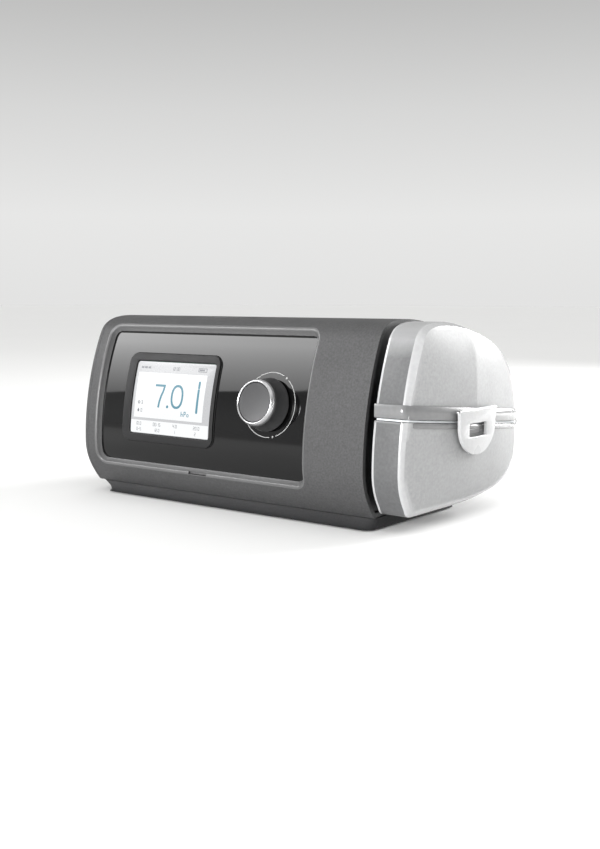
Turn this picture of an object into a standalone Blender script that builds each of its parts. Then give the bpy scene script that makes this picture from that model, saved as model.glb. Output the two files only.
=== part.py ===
"""Home sleep-therapy ventilator with a slide-out water chamber. Metres, +Z up.

Parts are placed from the housing's own corner: u runs right from the housing's
left end, v runs back from its foremost line, z runs up from the table. One
empty carries that corner, so the world origin is the middle of the footprint.
"""
import math

import bmesh
import bpy
from mathutils import Matrix, Vector
from mathutils.geometry import interpolate_bezier

# ---------------------------------------------------------------- driving sizes
HOUSING_LENGTH = 0.223      # left end to the right rim, without the chamber
HOUSING_DEPTH = 0.1349      # foremost line to the flat rear
HOUSING_HEIGHT = 0.1142
WALL = 0.0026               # moulded housing wall
GAP = 0.0003                # clearance between pieces that touch or run
CAP_DEPTH = 0.006           # domed left end cover
CAP_ROUND = 0.006           # radius round the left end

CHIN_BACK = 0.0114          # lower front edge of the housing
CHIN_Z = 0.0066
BELLY_Z = 0.034             # height of the foremost line
BROW_BACK = 0.0153          # where the leaning front turns into the top
BROW_DROP = 0.0108
TOP_BACK = 0.0409           # where the top becomes level
REAR_TOP_DROP = 0.0402      # flat rear: its top, below the housing's top
REAR_LOW_Z = 0.026
HEEL_BACK = 0.0999
HEEL_Z = 0.0125

PLINTH_LEFT = 0.0206
PLINTH_FRONT = 0.0049
PLINTH_BACK = 0.0979
PLINTH_LOW_Z = 0.0008
PLINTH_PLATE = 0.0025
PLINTH_WALL = 0.0022
FOOT_RADIUS = 0.006
FOOT_HEIGHT = 0.0022
FOOT_INSET = 0.012

RECESS_LEFT = 0.014         # window in the housing front for the control panel
RECESS_RIGHT = 0.1815
RECESS_LOW = 0.0205
RECESS_DROP = 0.0067
RECESS_DEPTH = 0.0035
RECESS_CORNER = 0.006
PANEL_THICK = 0.002
PANEL_LAP = 0.0016          # how far the panel runs behind the window's edge

SCREEN_LEFT = 0.0423        # clear window of the display
SCREEN_WIDTH = 0.0672
SCREEN_LOW = 0.0413
SCREEN_HEIGHT = 0.0459
BEZEL_LEFT_EDGE = 0.0066
BEZEL_RIGHT_EDGE = 0.0029
BEZEL_EDGE = 0.0048
BEZEL_PROUD = 0.0012
BEZEL_CORNER = 0.006
LENS_CORNER = 0.002
LCD_THICK = 0.0035
LCD_CLEAR = 0.0005          # flat module behind the curved panel

KNOB_U = 0.1532
KNOB_Z = 0.0655
KNOB_RADIUS = 0.0156        # at the foot
KNOB_TIP_RADIUS = 0.0127
KNOB_LENGTH = 0.014
SHAFT_RADIUS = 0.003
DIAL_TRAVEL = 0.0005

BUTTON_U = 0.104
BUTTON_V = 0.0349
BUTTON_LENGTH = 0.040
BUTTON_WIDTH = 0.009
BUTTON_DEPTH = 0.0043
BUTTON_TRAVEL = 0.0008

DOCK_GAP = 0.005            # housing rim to the chamber's left rim
CHAMBER_BODY = 0.027        # chamber's left rim to the ridge of its end
CHAMBER_BOW = 0.0085        # how far the end bulges past its corners
CHAMBER_BEVEL = 0.0022
CHAMBER_INSET = 0.0012      # chamber skin inside the housing's front skin
CHAMBER_WALL = 0.002
CHAMBER_TOP_DROP = 0.0012
CHAMBER_BACK = 0.1299
CHAMBER_LOW_Z = 0.0097
SPLIT_Z = 0.0633            # underside of the lid at the chamber's front
SPLIT_SLOPE = 0.0906        # the split falls towards the rear
BELT_HEIGHT = 0.0075
BELT_PROUD = 0.0008
SEAL_THICK = 0.001
RIM_HEIGHT = 0.003

INNER_LENGTH = 0.074        # part of the tank that slides into the housing
INNER_FRONT = 0.0319
INNER_BACK = 0.1119
INNER_LOW = 0.0149
INNER_TOP = 0.048
DECK_THICK = 0.002
BAY_CLEAR = 0.0007
BAY_WALL = 0.0015

HEATER_IN = 0.004           # heated plate: in from the tank's left end
HEATER_V = 0.038
HEATER_LENGTH = 0.056
HEATER_WIDTH = 0.052
HEATER_TOP = 0.0142
HEATER_THICK = 0.0024
SPRING_RADIUS = 0.003
SPRING_WIRE = 0.0004
SPRING_TURNS = 3

LATCH_V = 0.0619
LATCH_WIDTH = 0.0402
LATCH_LOW = 0.0393
LATCH_HINGE_Z = 0.0643
LATCH_THICK = 0.002
SLOT_WIDTH = 0.0192
SLOT_LOW = 0.0495
SLOT_HEIGHT = 0.0075
PIN_RADIUS = 0.00045

HINGE_RADIUS = 0.0024
HINGE_PIN_RADIUS = 0.001
HINGE_BEHIND = 0.0022       # lid axis behind the chamber's rear skin

PORT_RADIUS = 0.0075        # air ports between housing and lid
PORT_IN_V = 0.0469
PORT_OUT_V = 0.0869
PORT_IN_Z = 0.082
PORT_OUT_Z = 0.080
SEAL_RIM = 0.0022

BLOWER_U = 0.064
BLOWER_V = 0.0725
BLOWER_RADIUS = 0.036
BLOWER_LOW = 0.026
BLOWER_SPLIT = 0.038
BLOWER_TOP = 0.050
BLOWER_WALL = 0.002
IMPELLER_RADIUS = 0.030
ROTOR_RADIUS = 0.0015
STATOR_RADIUS = 0.016
DUCT_RADIUS = 0.008
DUCT_LAP = 0.0005           # duct skin outside the hole it butts against
DUCT_WALL = 0.0012

REAR_LEFT = 0.018           # insert in the flat rear
REAR_RIGHT = 0.206
REAR_PANEL_LOW = 0.0285
REAR_PANEL_TOP = 0.0715
REAR_THICK = 0.0024
OUTLET_U = 0.129
OUTLET_Z = 0.050
OUTLET_RADIUS = 0.011       # 22 mm male hose connector
OUTLET_BORE = 0.0093
WELL_RADIUS = 0.018
WELL_DEPTH = 0.018
FILTER_U = 0.022
FILTER_LENGTH = 0.038
FILTER_LOW = 0.038
FILTER_HEIGHT = 0.024
DOOR_THICK = 0.002
CARD_U = 0.074
CARD_LENGTH = 0.030
CARD_LOW = 0.040
CARD_HEIGHT = 0.010
JACK_U = 0.172
JACK_LOW = 0.038
JACK_WIDTH = 0.012
JACK_HEIGHT = 0.010
JACK_BORE = 0.0028

BOARD_V = 0.0209
BOARD_THICK = 0.0016
TRAY_LOW = 0.0169
TRAY_THICK = 0.002
SCREW_PLACES = ((0.052, 0.0249), (0.052, 0.0849), (0.134, 0.0249), (0.134, 0.0849))
SCREW_RADIUS = 0.0015
SCREW_HEAD_RADIUS = 0.0028

ROUND = 20                  # sides of a small round piece

# ---------------------------------------------------------------- worked out
RIM_U = HOUSING_LENGTH
DOCK_U = RIM_U + DOCK_GAP
RIDGE_U = DOCK_U + CHAMBER_BODY
CORNER_U = RIDGE_U - CHAMBER_BOW
LATCH_U = RIDGE_U + BELT_PROUD + GAP
OVERALL_LENGTH = LATCH_U + LATCH_THICK
INNER_LEFT = DOCK_U - INNER_LENGTH
HEATER_U = INNER_LEFT + HEATER_IN
BOW_MID_V = (CHAMBER_INSET + CHAMBER_BACK) / 2
BOW_HALF_V = (CHAMBER_BACK - CHAMBER_INSET) / 2
BOW_MID_Z = (HOUSING_HEIGHT + CHAMBER_LOW_Z) / 2
BOW_HALF_Z = (HOUSING_HEIGHT - CHAMBER_LOW_Z) / 2
HINGE_V = CHAMBER_BACK + HINGE_BEHIND
BROW_Z = HOUSING_HEIGHT - BROW_DROP
RECESS_TOP = HOUSING_HEIGHT - RECESS_DROP
REAR_TOP_Z = HOUSING_HEIGHT - REAR_TOP_DROP

COLLECTION = bpy.data.collections.new("sleep_ventilator")
CUTTERS = bpy.data.collections.new("cutters")


# ---------------------------------------------------------------- outlines
def arc(start, handle_a, handle_b, end, count):
    """Points of one cubic curve in the (v, z) plane, without its last point."""
    points = interpolate_bezier(
        Vector(start), Vector(handle_a), Vector(handle_b), Vector(end), count + 1)
    return [(p[0], p[1]) for p in points[:-1]]


def front_curve(scale=1):
    """Housing front from the chin, over the belly and the brow, to the level top."""
    rise = BROW_Z - BELLY_Z
    tuck = BELLY_Z - CHIN_Z
    chin = arc((CHIN_BACK, CHIN_Z), (CHIN_BACK * 0.3, CHIN_Z + tuck * 0.36),
               (0, BELLY_Z - tuck * 0.36), (0, BELLY_Z), 5 * scale)
    face = arc((0, BELLY_Z), (0, BELLY_Z + rise * 0.35),
               (BROW_BACK * 0.42, BROW_Z - rise * 0.28), (BROW_BACK, BROW_Z), 8 * scale)
    brow = arc((BROW_BACK, BROW_Z), (BROW_BACK + 0.003, BROW_Z + 0.007),
               (TOP_BACK - 0.016, HOUSING_HEIGHT), (TOP_BACK, HOUSING_HEIGHT), 6 * scale)
    return chin + face + brow + [(TOP_BACK, HOUSING_HEIGHT)]


def housing_outline():
    """Closed outline of the housing seen from its right end, clockwise from the chin."""
    crown = arc((TOP_BACK, HOUSING_HEIGHT), (TOP_BACK + 0.034, HOUSING_HEIGHT),
                (HOUSING_DEPTH, REAR_TOP_Z + 0.020), (HOUSING_DEPTH, REAR_TOP_Z), 9)
    heel = arc((HOUSING_DEPTH, REAR_LOW_Z), (HOUSING_DEPTH, REAR_LOW_Z - 0.008),
               (HEEL_BACK + 0.021, HEEL_Z + 0.0015), (HEEL_BACK, HEEL_Z), 5)
    return front_curve()[:-1] + crown + [(HOUSING_DEPTH, REAR_TOP_Z)] + heel + [
        (HEEL_BACK, HEEL_Z)]


def chamber_outline(inset):
    """Closed outline of the water chamber, in line with the housing's front."""
    top = HOUSING_HEIGHT - CHAMBER_TOP_DROP
    front = [p for p in offset(front_curve(), CHAMBER_INSET, closed=False)
             if CHAMBER_LOW_Z + 0.002 < p[1] < top - 0.0004]
    crown = arc((TOP_BACK, top), (TOP_BACK + 0.034, top),
                (CHAMBER_BACK, 0.092), (CHAMBER_BACK, 0.058), 7)
    low = arc((CHAMBER_BACK, 0.044), (CHAMBER_BACK, 0.022),
              (CHAMBER_BACK - 0.017, CHAMBER_LOW_Z + 0.0013), (0.0649, CHAMBER_LOW_Z), 6)
    points = front + crown + [(CHAMBER_BACK, 0.058)] + low + [
        (0.0649, CHAMBER_LOW_Z), (0.016, CHAMBER_LOW_Z)]
    return offset(points, inset)


def offset(points, distance, closed=True):
    """Move a clockwise (v, z) outline inwards by distance along its own normals."""
    count = len(points)
    result = []
    for i, point in enumerate(points):
        before = points[i - 1] if closed or i else point
        after = points[(i + 1) % count] if closed or i < count - 1 else point
        normals = []
        for a, b in ((before, point), (point, after)):
            run = Vector((b[0] - a[0], b[1] - a[1]))
            if run.length > 1e-9:
                run.normalize()
                normals.append(Vector((run.y, -run.x)))
        mean = sum(normals, Vector((0, 0))).normalized()
        reach = distance / max(mean.dot(normals[0]), 0.5)
        result.append((point[0] + mean.x * reach, point[1] + mean.y * reach))
    return result


def front_at(z, inset=0.0):
    """Point (v, z) and outward normal of the front skin moved in by inset, at height z."""
    curve = front_curve(3)
    for a, b in zip(curve, curve[1:]):
        if a[1] <= z <= b[1]:
            share = (z - a[1]) / (b[1] - a[1])
            run = Vector((b[0] - a[0], b[1] - a[1])).normalized()
            out = Vector((-run.y, run.x))
            return (a[0] + (b[0] - a[0]) * share - out.x * inset, z - out.y * inset), out
    raise ValueError("height is outside the front")


def rounded(x0, x1, y0, y1, radius, steps=5):
    """Counter-clockwise rectangle with round corners."""
    points = []
    for cx, cy, turn in ((x1, y0, -90), (x1, y1, 0), (x0, y1, 90), (x0, y0, 180)):
        mx = cx - radius if cx == x1 else cx + radius
        my = cy - radius if cy == y1 else cy + radius
        for k in range(steps + 1):
            angle = math.radians(turn + 90 * k / steps)
            points.append((mx + radius * math.cos(angle), my + radius * math.sin(angle)))
    return points


def split_z(v, drop=0.0):
    """Height of the plane that parts lid and tank, lowered by drop."""
    return SPLIT_Z - SPLIT_SLOPE * v - drop


def bow(v, z):
    """How far the chamber's end stands past its corners."""
    across = 1 - ((v - BOW_MID_V) / BOW_HALF_V) ** 2
    upright = 1 - (abs(z - BOW_MID_Z) / BOW_HALF_Z) ** 4
    return CHAMBER_BOW * max(across, 0) * max(upright, 0)


def plan_outline(grow):
    """Outline of the chamber at the split plane, seen from above, grown by grow."""
    front_v = front_at(split_z(0), CHAMBER_INSET)[0][0] - grow
    rear_v = CHAMBER_BACK + grow
    left_u = DOCK_U - min(grow, 0)
    points = [(left_u, front_v), (CORNER_U - CHAMBER_BEVEL, front_v)]
    for k in range(9):
        v = front_v + CHAMBER_BEVEL + (rear_v - front_v - 2 * CHAMBER_BEVEL) * k / 8
        points.append((CORNER_U + bow(v, split_z(v)) + grow, v))
    return points + [(CORNER_U - CHAMBER_BEVEL, rear_v), (left_u, rear_v)]


# ---------------------------------------------------------------- building blocks
AXES_X = Matrix(((0, 0, 1, 0), (1, 0, 0, 0), (0, 1, 0, 0), (0, 0, 0, 1)))
AXES_Y = Matrix(((1, 0, 0, 0), (0, 0, -1, 0), (0, 1, 0, 0), (0, 0, 0, 1)))


def material(name, color, roughness, metallic=0.0, alpha=1.0):
    mat = bpy.data.materials.get(name) or bpy.data.materials.new(name)
    mat.use_nodes = True
    shader = mat.node_tree.nodes["Principled BSDF"]
    shader.inputs["Base Color"].default_value = (*color, 1)
    shader.inputs["Roughness"].default_value = roughness
    shader.inputs["Metallic"].default_value = metallic
    shader.inputs["Alpha"].default_value = alpha
    return mat


def place(name, mesh, matrix=None, mat=None):
    """Put a mesh in the scene as a named part under the root empty."""
    obj = bpy.data.objects.new(name, mesh)
    (COLLECTION if mat else CUTTERS).objects.link(obj)
    obj.parent = ROOT
    obj.matrix_basis = matrix or Matrix.Identity(4)
    if mat:
        obj.data.materials.append(mat)
    else:
        obj.hide_render = True
        obj.display_type = "WIRE"
    return obj


def mesh_from(bm, name):
    mesh = bpy.data.meshes.new(name)
    bmesh.ops.recalc_face_normals(bm, faces=bm.faces)
    bm.to_mesh(mesh)
    bm.free()
    return mesh


def baked(curve_obj, name):
    """Mesh of a curve object with its caps welded; the curve is removed."""
    depsgraph = bpy.context.evaluated_depsgraph_get()
    mesh = bpy.data.meshes.new_from_object(curve_obj.evaluated_get(depsgraph))
    mesh.name = name
    data = curve_obj.data
    bpy.data.objects.remove(curve_obj)
    bpy.data.curves.remove(data)
    bm = bmesh.new()
    bm.from_mesh(mesh)
    bmesh.ops.remove_doubles(bm, verts=bm.verts, dist=1e-6)
    bmesh.ops.recalc_face_normals(bm, faces=bm.faces)
    bm.to_mesh(mesh)
    bm.free()
    return mesh


def flat_mesh(name, outlines, thickness):
    """Solid of one outline, with any further outlines as holes, in its own XY plane."""
    data = bpy.data.curves.new(name, "CURVE")
    data.dimensions = "2D"
    data.fill_mode = "BOTH"
    data.extrude = thickness / 2
    for outline in outlines:
        spline = data.splines.new("POLY")
        spline.points.add(len(outline) - 1)
        for point, (x, y) in zip(spline.points, outline):
            point.co = (x, y, 0, 1)
        spline.use_cyclic_u = True
    obj = bpy.data.objects.new(name, data)
    CUTTERS.objects.link(obj)
    bpy.context.view_layer.update()
    return baked(obj, name)


def slab_x(name, outlines, u0, u1, mat=None):
    """Outlines in (v, z), run along u from u0 to u1."""
    matrix = Matrix.Translation(((u0 + u1) / 2, 0, 0)) @ AXES_X
    return place(name, flat_mesh(name, outlines, u1 - u0), matrix, mat)


def slab_y(name, outlines, v0, v1, mat=None):
    """Outlines in (u, z), run along v from v0 to v1."""
    matrix = Matrix.Translation((0, (v0 + v1) / 2, 0)) @ AXES_Y
    return place(name, flat_mesh(name, outlines, v1 - v0), matrix, mat)


def slab_z(name, outlines, z0, z1, mat=None):
    """Outlines in (u, v), run along z from z0 to z1."""
    matrix = Matrix.Translation((0, 0, (z0 + z1) / 2))
    return place(name, flat_mesh(name, outlines, z1 - z0), matrix, mat)


def box(name, low, high, mat=None):
    bm = bmesh.new()
    size = [b - a for a, b in zip(low, high)]
    bmesh.ops.create_cube(bm, size=1, matrix=Matrix.Diagonal((*size, 1)))
    middle = [(a + b) / 2 for a, b in zip(low, high)]
    return place(name, mesh_from(bm, name), Matrix.Translation(middle), mat)


def rod(name, start, end, radius, mat=None, sides=ROUND):
    """Cylinder between two points."""
    start, end = Vector(start), Vector(end)
    run = end - start
    bm = bmesh.new()
    bmesh.ops.create_cone(bm, cap_ends=True, segments=sides, radius1=radius,
                          radius2=radius, depth=run.length)
    turn = Vector((0, 0, 1)).rotation_difference(run).to_matrix().to_4x4()
    obj = place(name, mesh_from(bm, name), Matrix.Translation((start + end) / 2) @ turn, mat)
    obj.data.set_sharp_from_angle(angle=math.radians(40))
    return obj


def turned(name, profile, matrix, mat=None, sides=ROUND):
    """Closed (radius, height) loop spun round its own Z axis, outer side listed downwards."""
    bm = bmesh.new()
    verts = [bm.verts.new((r, 0, h)) for r, h in profile]
    for a, b in zip(verts, verts[1:] + verts[:1]):
        bm.edges.new((a, b))
    mesh = bpy.data.meshes.new(name)
    bm.to_mesh(mesh)
    bm.free()
    obj = place(name, mesh, matrix, mat)
    screw = obj.modifiers.new("spin", "SCREW")
    screw.steps = sides
    screw.render_steps = sides
    screw.use_merge_vertices = True
    screw.merge_threshold = 1e-5
    screw.use_smooth_shade = False
    return obj


def tube(name, path, radius, wall, mat):
    """Hollow duct along a smooth path; both ends stay open."""
    data = bpy.data.curves.new(name, "CURVE")
    data.dimensions = "3D"
    data.bevel_depth = radius
    data.bevel_resolution = 2
    points = smooth_path(path, 2)
    spline = data.splines.new("POLY")
    spline.points.add(len(points) - 1)
    for point, place_at in zip(spline.points, points):
        point.co = (*place_at, 1)
    obj = bpy.data.objects.new(name, data)
    CUTTERS.objects.link(obj)
    bpy.context.view_layer.update()
    obj = place(name, baked(obj, name), None, mat)
    solidify(obj, wall)
    return obj


def smooth_path(path, steps):
    """Catmull-Rom points through a short list of places."""
    places = [Vector(p) for p in path]
    ends = [places[0] * 2 - places[1]] + places + [places[-1] * 2 - places[-2]]
    points = []
    for a, b, c, d in zip(ends, ends[1:], ends[2:], ends[3:]):
        points += interpolate_bezier(b, b + (c - a) / 6, c - (d - b) / 6, c, steps + 1)[:-1]
    return points + [places[-1]]


def solidify(obj, wall):
    mod = obj.modifiers.new("wall", "SOLIDIFY")
    mod.thickness = wall
    mod.offset = -1
    mod.use_even_offset = True


def boolean(obj, other, operation="DIFFERENCE"):
    mod = obj.modifiers.new(operation.lower(), "BOOLEAN")
    mod.operation = operation
    mod.object = other
    mod.solver = "EXACT"
    return obj


def front_strip(name, span, heights, inset, thickness, mat, outline=None, steps=12):
    """Sheet that follows the front skin, trimmed to an outline in (u, z)."""
    bm = bmesh.new()
    rows = []
    for k in range(steps + 1):
        z = heights[0] + (heights[1] - heights[0]) * k / steps
        (v, height), _ = front_at(z, inset)
        rows.append([bm.verts.new((u, v, height)) for u in span])
    for low, high in zip(rows, rows[1:]):
        bm.faces.new((low[0], low[1], high[1], high[0]))
    mesh = bpy.data.meshes.new(name)
    bm.to_mesh(mesh)
    bm.free()
    obj = place(name, mesh, None, mat)
    solidify(obj, thickness)
    if outline:
        trim = slab_y(name + "_trim", [outline], -0.02, 0.06)
        boolean(obj, trim, "INTERSECT")
    return obj


def lofted(name, rings, mat=None, closed_start=True, tip=None):
    """Skin over rings of equal point counts; tip closes the last ring to one point."""
    bm = bmesh.new()
    rows = [[bm.verts.new(p) for p in ring] for ring in rings]
    for low, high in zip(rows, rows[1:]):
        for i in range(len(low)):
            j = (i + 1) % len(low)
            bm.faces.new((low[i], low[j], high[j], high[i]))
    if closed_start:
        bm.faces.new(rows[0])
    last = rows[-1]
    if tip:
        point = bm.verts.new(tip)
        for i in range(len(last)):
            bm.faces.new((last[i], last[(i + 1) % len(last)], point))
    else:
        bm.faces.new(last)
    return place(name, mesh_from(bm, name), None, mat)


# ---------------------------------------------------------------- housing
def make_sleeve(mat):
    outline = housing_outline()
    bm = bmesh.new()
    rings = [[bm.verts.new((u, v, z)) for v, z in outline] for u in (CAP_DEPTH, RIM_U)]
    for i in range(len(outline)):
        j = (i + 1) % len(outline)
        bm.faces.new((rings[0][i], rings[0][j], rings[1][j], rings[1][i]))
    bmesh.ops.recalc_face_normals(bm, faces=bm.faces)
    mesh = bpy.data.meshes.new("housing_sleeve")
    bm.to_mesh(mesh)
    bm.free()
    sleeve = place("housing_sleeve", mesh, None, mat)
    solidify(sleeve, WALL)
    recess = slab_y("recess_cut", [rounded(RECESS_LEFT, RECESS_RIGHT, RECESS_LOW, RECESS_TOP,
                                           RECESS_CORNER)], -0.02, 0.04)
    boolean(sleeve, recess)
    rear = box("rear_cut", (REAR_LEFT - GAP, HOUSING_DEPTH - 0.01, REAR_PANEL_LOW - GAP),
               (REAR_RIGHT + GAP, HOUSING_DEPTH + 0.01, REAR_PANEL_TOP + GAP))
    boolean(sleeve, rear)
    notch = box("bay_cut", (INNER_LEFT - 0.005, INNER_FRONT - 0.0027, 0),
                (RIM_U + 0.01, INNER_BACK + 0.0029, 0.022))
    boolean(sleeve, notch)
    button = slab_z("button_cut", [button_outline(0.0004)], HOUSING_HEIGHT - 0.02,
                    HOUSING_HEIGHT + 0.02)
    boolean(sleeve, button)
    for index, (u, v) in enumerate(SCREW_PLACES):
        boolean(sleeve, rod(f"sleeve_screw_cut_{index}", (u, v, 0), (u, v, 0.018),
                            SCREW_RADIUS + GAP, None, 10))
    return sleeve


def make_end_cover(mat):
    """Domed cover; its outer edge is rounded all the way round."""
    start = CAP_DEPTH - GAP
    rings = []
    for angle in (None, 0, 30, 60, 90):
        turn = math.radians(angle or 0)
        u = start if angle is None else (start - 0.0008) * (1 - math.sin(turn))
        inset = CAP_ROUND * (1 - math.cos(turn))
        rings.append([(u, v, z) for v, z in offset(housing_outline(), inset)])
    bm = bmesh.new()
    rows = [[bm.verts.new(p) for p in ring] for ring in rings]
    for low, high in zip(rows, rows[1:]):
        for i in range(len(low)):
            j = (i + 1) % len(low)
            bm.faces.new((low[i], low[j], high[j], high[i]))
    bm.faces.new(rows[-1])
    mesh = mesh_from(bm, "left_end_cover")
    cover = place("left_end_cover", mesh, None, mat)
    solidify(cover, WALL)
    return cover


def make_plinth(mat):
    """Flared foot frame: an open tray that the housing is screwed down to."""
    rings = []
    for share in (0, 0.4, 1):
        flare = share ** 1.6
        ring = []
        for u, v in rounded(PLINTH_LEFT - 0.0085 * flare, HOUSING_LENGTH + 0.001,
                            PLINTH_FRONT + (CHIN_BACK - PLINTH_FRONT) * share ** 0.6,
                            PLINTH_BACK, 0.0055, 3):
            slope = (HEEL_Z - CHIN_Z) / (HEEL_BACK - CHIN_BACK)
            top = CHIN_Z - GAP + slope * (v - CHIN_BACK)
            ring.append((u, v, PLINTH_LOW_Z + (top - PLINTH_LOW_Z) * share))
        rings.append(ring)
    plinth = lofted("base_plinth", rings, mat)
    hollow = slab_z("plinth_hollow", [rounded(
        PLINTH_LEFT + PLINTH_WALL, HOUSING_LENGTH + 0.001 - PLINTH_WALL,
        CHIN_BACK + PLINTH_WALL, PLINTH_BACK - PLINTH_WALL, 0.003, 2)],
        PLINTH_LOW_Z + PLINTH_PLATE, 0.03)
    boolean(plinth, hollow)
    for index, (u, v) in enumerate(foot_places()):
        boolean(plinth, rod(f"foot_cut_{index}", (u, v, -0.002), (u, v, FOOT_HEIGHT + GAP),
                            FOOT_RADIUS + GAP))
    for index, (u, v) in enumerate(SCREW_PLACES):
        boolean(plinth, rod(f"screw_head_cut_{index}", (u, v, -0.002), (u, v, 0.002),
                            SCREW_HEAD_RADIUS + GAP, None, 12))
        boolean(plinth, rod(f"screw_cut_{index}", (u, v, 0.001), (u, v, 0.008),
                            SCREW_RADIUS + GAP, None, 10))
    return plinth


def foot_places():
    right = HOUSING_LENGTH + 0.001 - FOOT_INSET
    return [(u, v) for u in (PLINTH_LEFT + FOOT_INSET, right)
            for v in (PLINTH_FRONT + FOOT_INSET, PLINTH_BACK - FOOT_INSET)]


def make_feet_and_screws(rubber, steel):
    for index, (u, v) in enumerate(foot_places()):
        rod(f"foot_{index + 1}", (u, v, 0), (u, v, FOOT_HEIGHT), FOOT_RADIUS, rubber)
    low = PLINTH_LOW_Z + 0.0003
    for index, (u, v) in enumerate(SCREW_PLACES):
        head = rod(f"base_screw_{index + 1}", (u, v, low), (u, v, low + 0.0006),
                   SCREW_HEAD_RADIUS, steel, 12)
        shank = rod(f"screw_shank_{index}", (u, v, low + 0.0003), (u, v, low + 0.0148),
                    SCREW_RADIUS, None, 10)
        boolean(head, shank, "UNION")


def make_dock_wall(mat):
    """Bulkhead behind the chamber, with the tank's doorway and two air ports."""
    low = HOUSING_LENGTH - 0.0045
    wall = slab_x("dock_wall", [offset(housing_outline(), WALL + GAP)], low, low + 0.0025, mat)
    door = box("dock_door_cut", (low - 0.01, INNER_FRONT - BAY_CLEAR, -0.01),
               (low + 0.01, INNER_BACK + BAY_CLEAR, bay_roof()))
    boolean(wall, door)
    for name, v, z in ports():
        boolean(wall, rod(f"dock_{name}_cut", (low - 0.01, v, z), (low + 0.01, v, z),
                          DUCT_RADIUS - DUCT_LAP))
    return wall


def ports():
    return (("supply", PORT_IN_V, PORT_IN_Z), ("return", PORT_OUT_V, PORT_OUT_Z))


def bay_roof():
    return INNER_TOP + GAP + DECK_THICK + BAY_CLEAR


def make_bay(mat):
    """Liner that keeps water and the tank away from the electronics."""
    right = HOUSING_LENGTH - 0.0045 - GAP
    left = INNER_LEFT - BAY_CLEAR
    front = INNER_FRONT - BAY_CLEAR
    back = INNER_BACK + BAY_CLEAR
    liner = box("tank_bay", (left - BAY_WALL, front - BAY_WALL, INNER_LOW),
                (right, back + BAY_WALL, bay_roof() + BAY_WALL), mat)
    boolean(liner, box("bay_hollow", (left, front, -0.01), (right + 0.01, back, bay_roof())))
    return liner


def make_port_seals(mat):
    left = HOUSING_LENGTH - 0.002 + GAP
    length = DOCK_U - GAP - left
    for name, v, z in ports():
        inner = PORT_RADIUS + 0.0003
        outer = inner + SEAL_RIM
        turned(f"{name}_port_seal", [(outer, length), (outer, 0), (inner, 0), (inner, length)],
               Matrix.Translation((left, v, z)) @ AXES_X, mat)


def make_rear_panel(mat):
    panel = slab_y("rear_panel", [rounded(REAR_LEFT, REAR_RIGHT, REAR_PANEL_LOW,
                                          REAR_PANEL_TOP, 0.0015, 2)],
                   HOUSING_DEPTH - REAR_THICK, HOUSING_DEPTH, mat)
    deep = (HOUSING_DEPTH - 0.01, HOUSING_DEPTH + 0.01)
    boolean(panel, rod("outlet_cut", (OUTLET_U, deep[0], OUTLET_Z), (OUTLET_U, deep[1], OUTLET_Z),
                       WELL_RADIUS + 0.002 + GAP, None, 32))
    for name, u, low, length, height in (
            ("filter_cut", FILTER_U, FILTER_LOW, FILTER_LENGTH, FILTER_HEIGHT),
            ("card_cut", CARD_U, CARD_LOW, CARD_LENGTH, CARD_HEIGHT),
            ("jack_cut", JACK_U - GAP, JACK_LOW - GAP, JACK_WIDTH + 2 * GAP,
             JACK_HEIGHT + 2 * GAP)):
        boolean(panel, box(name, (u, deep[0], low), (u + length, deep[1], low + height)))
    return panel


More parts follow.
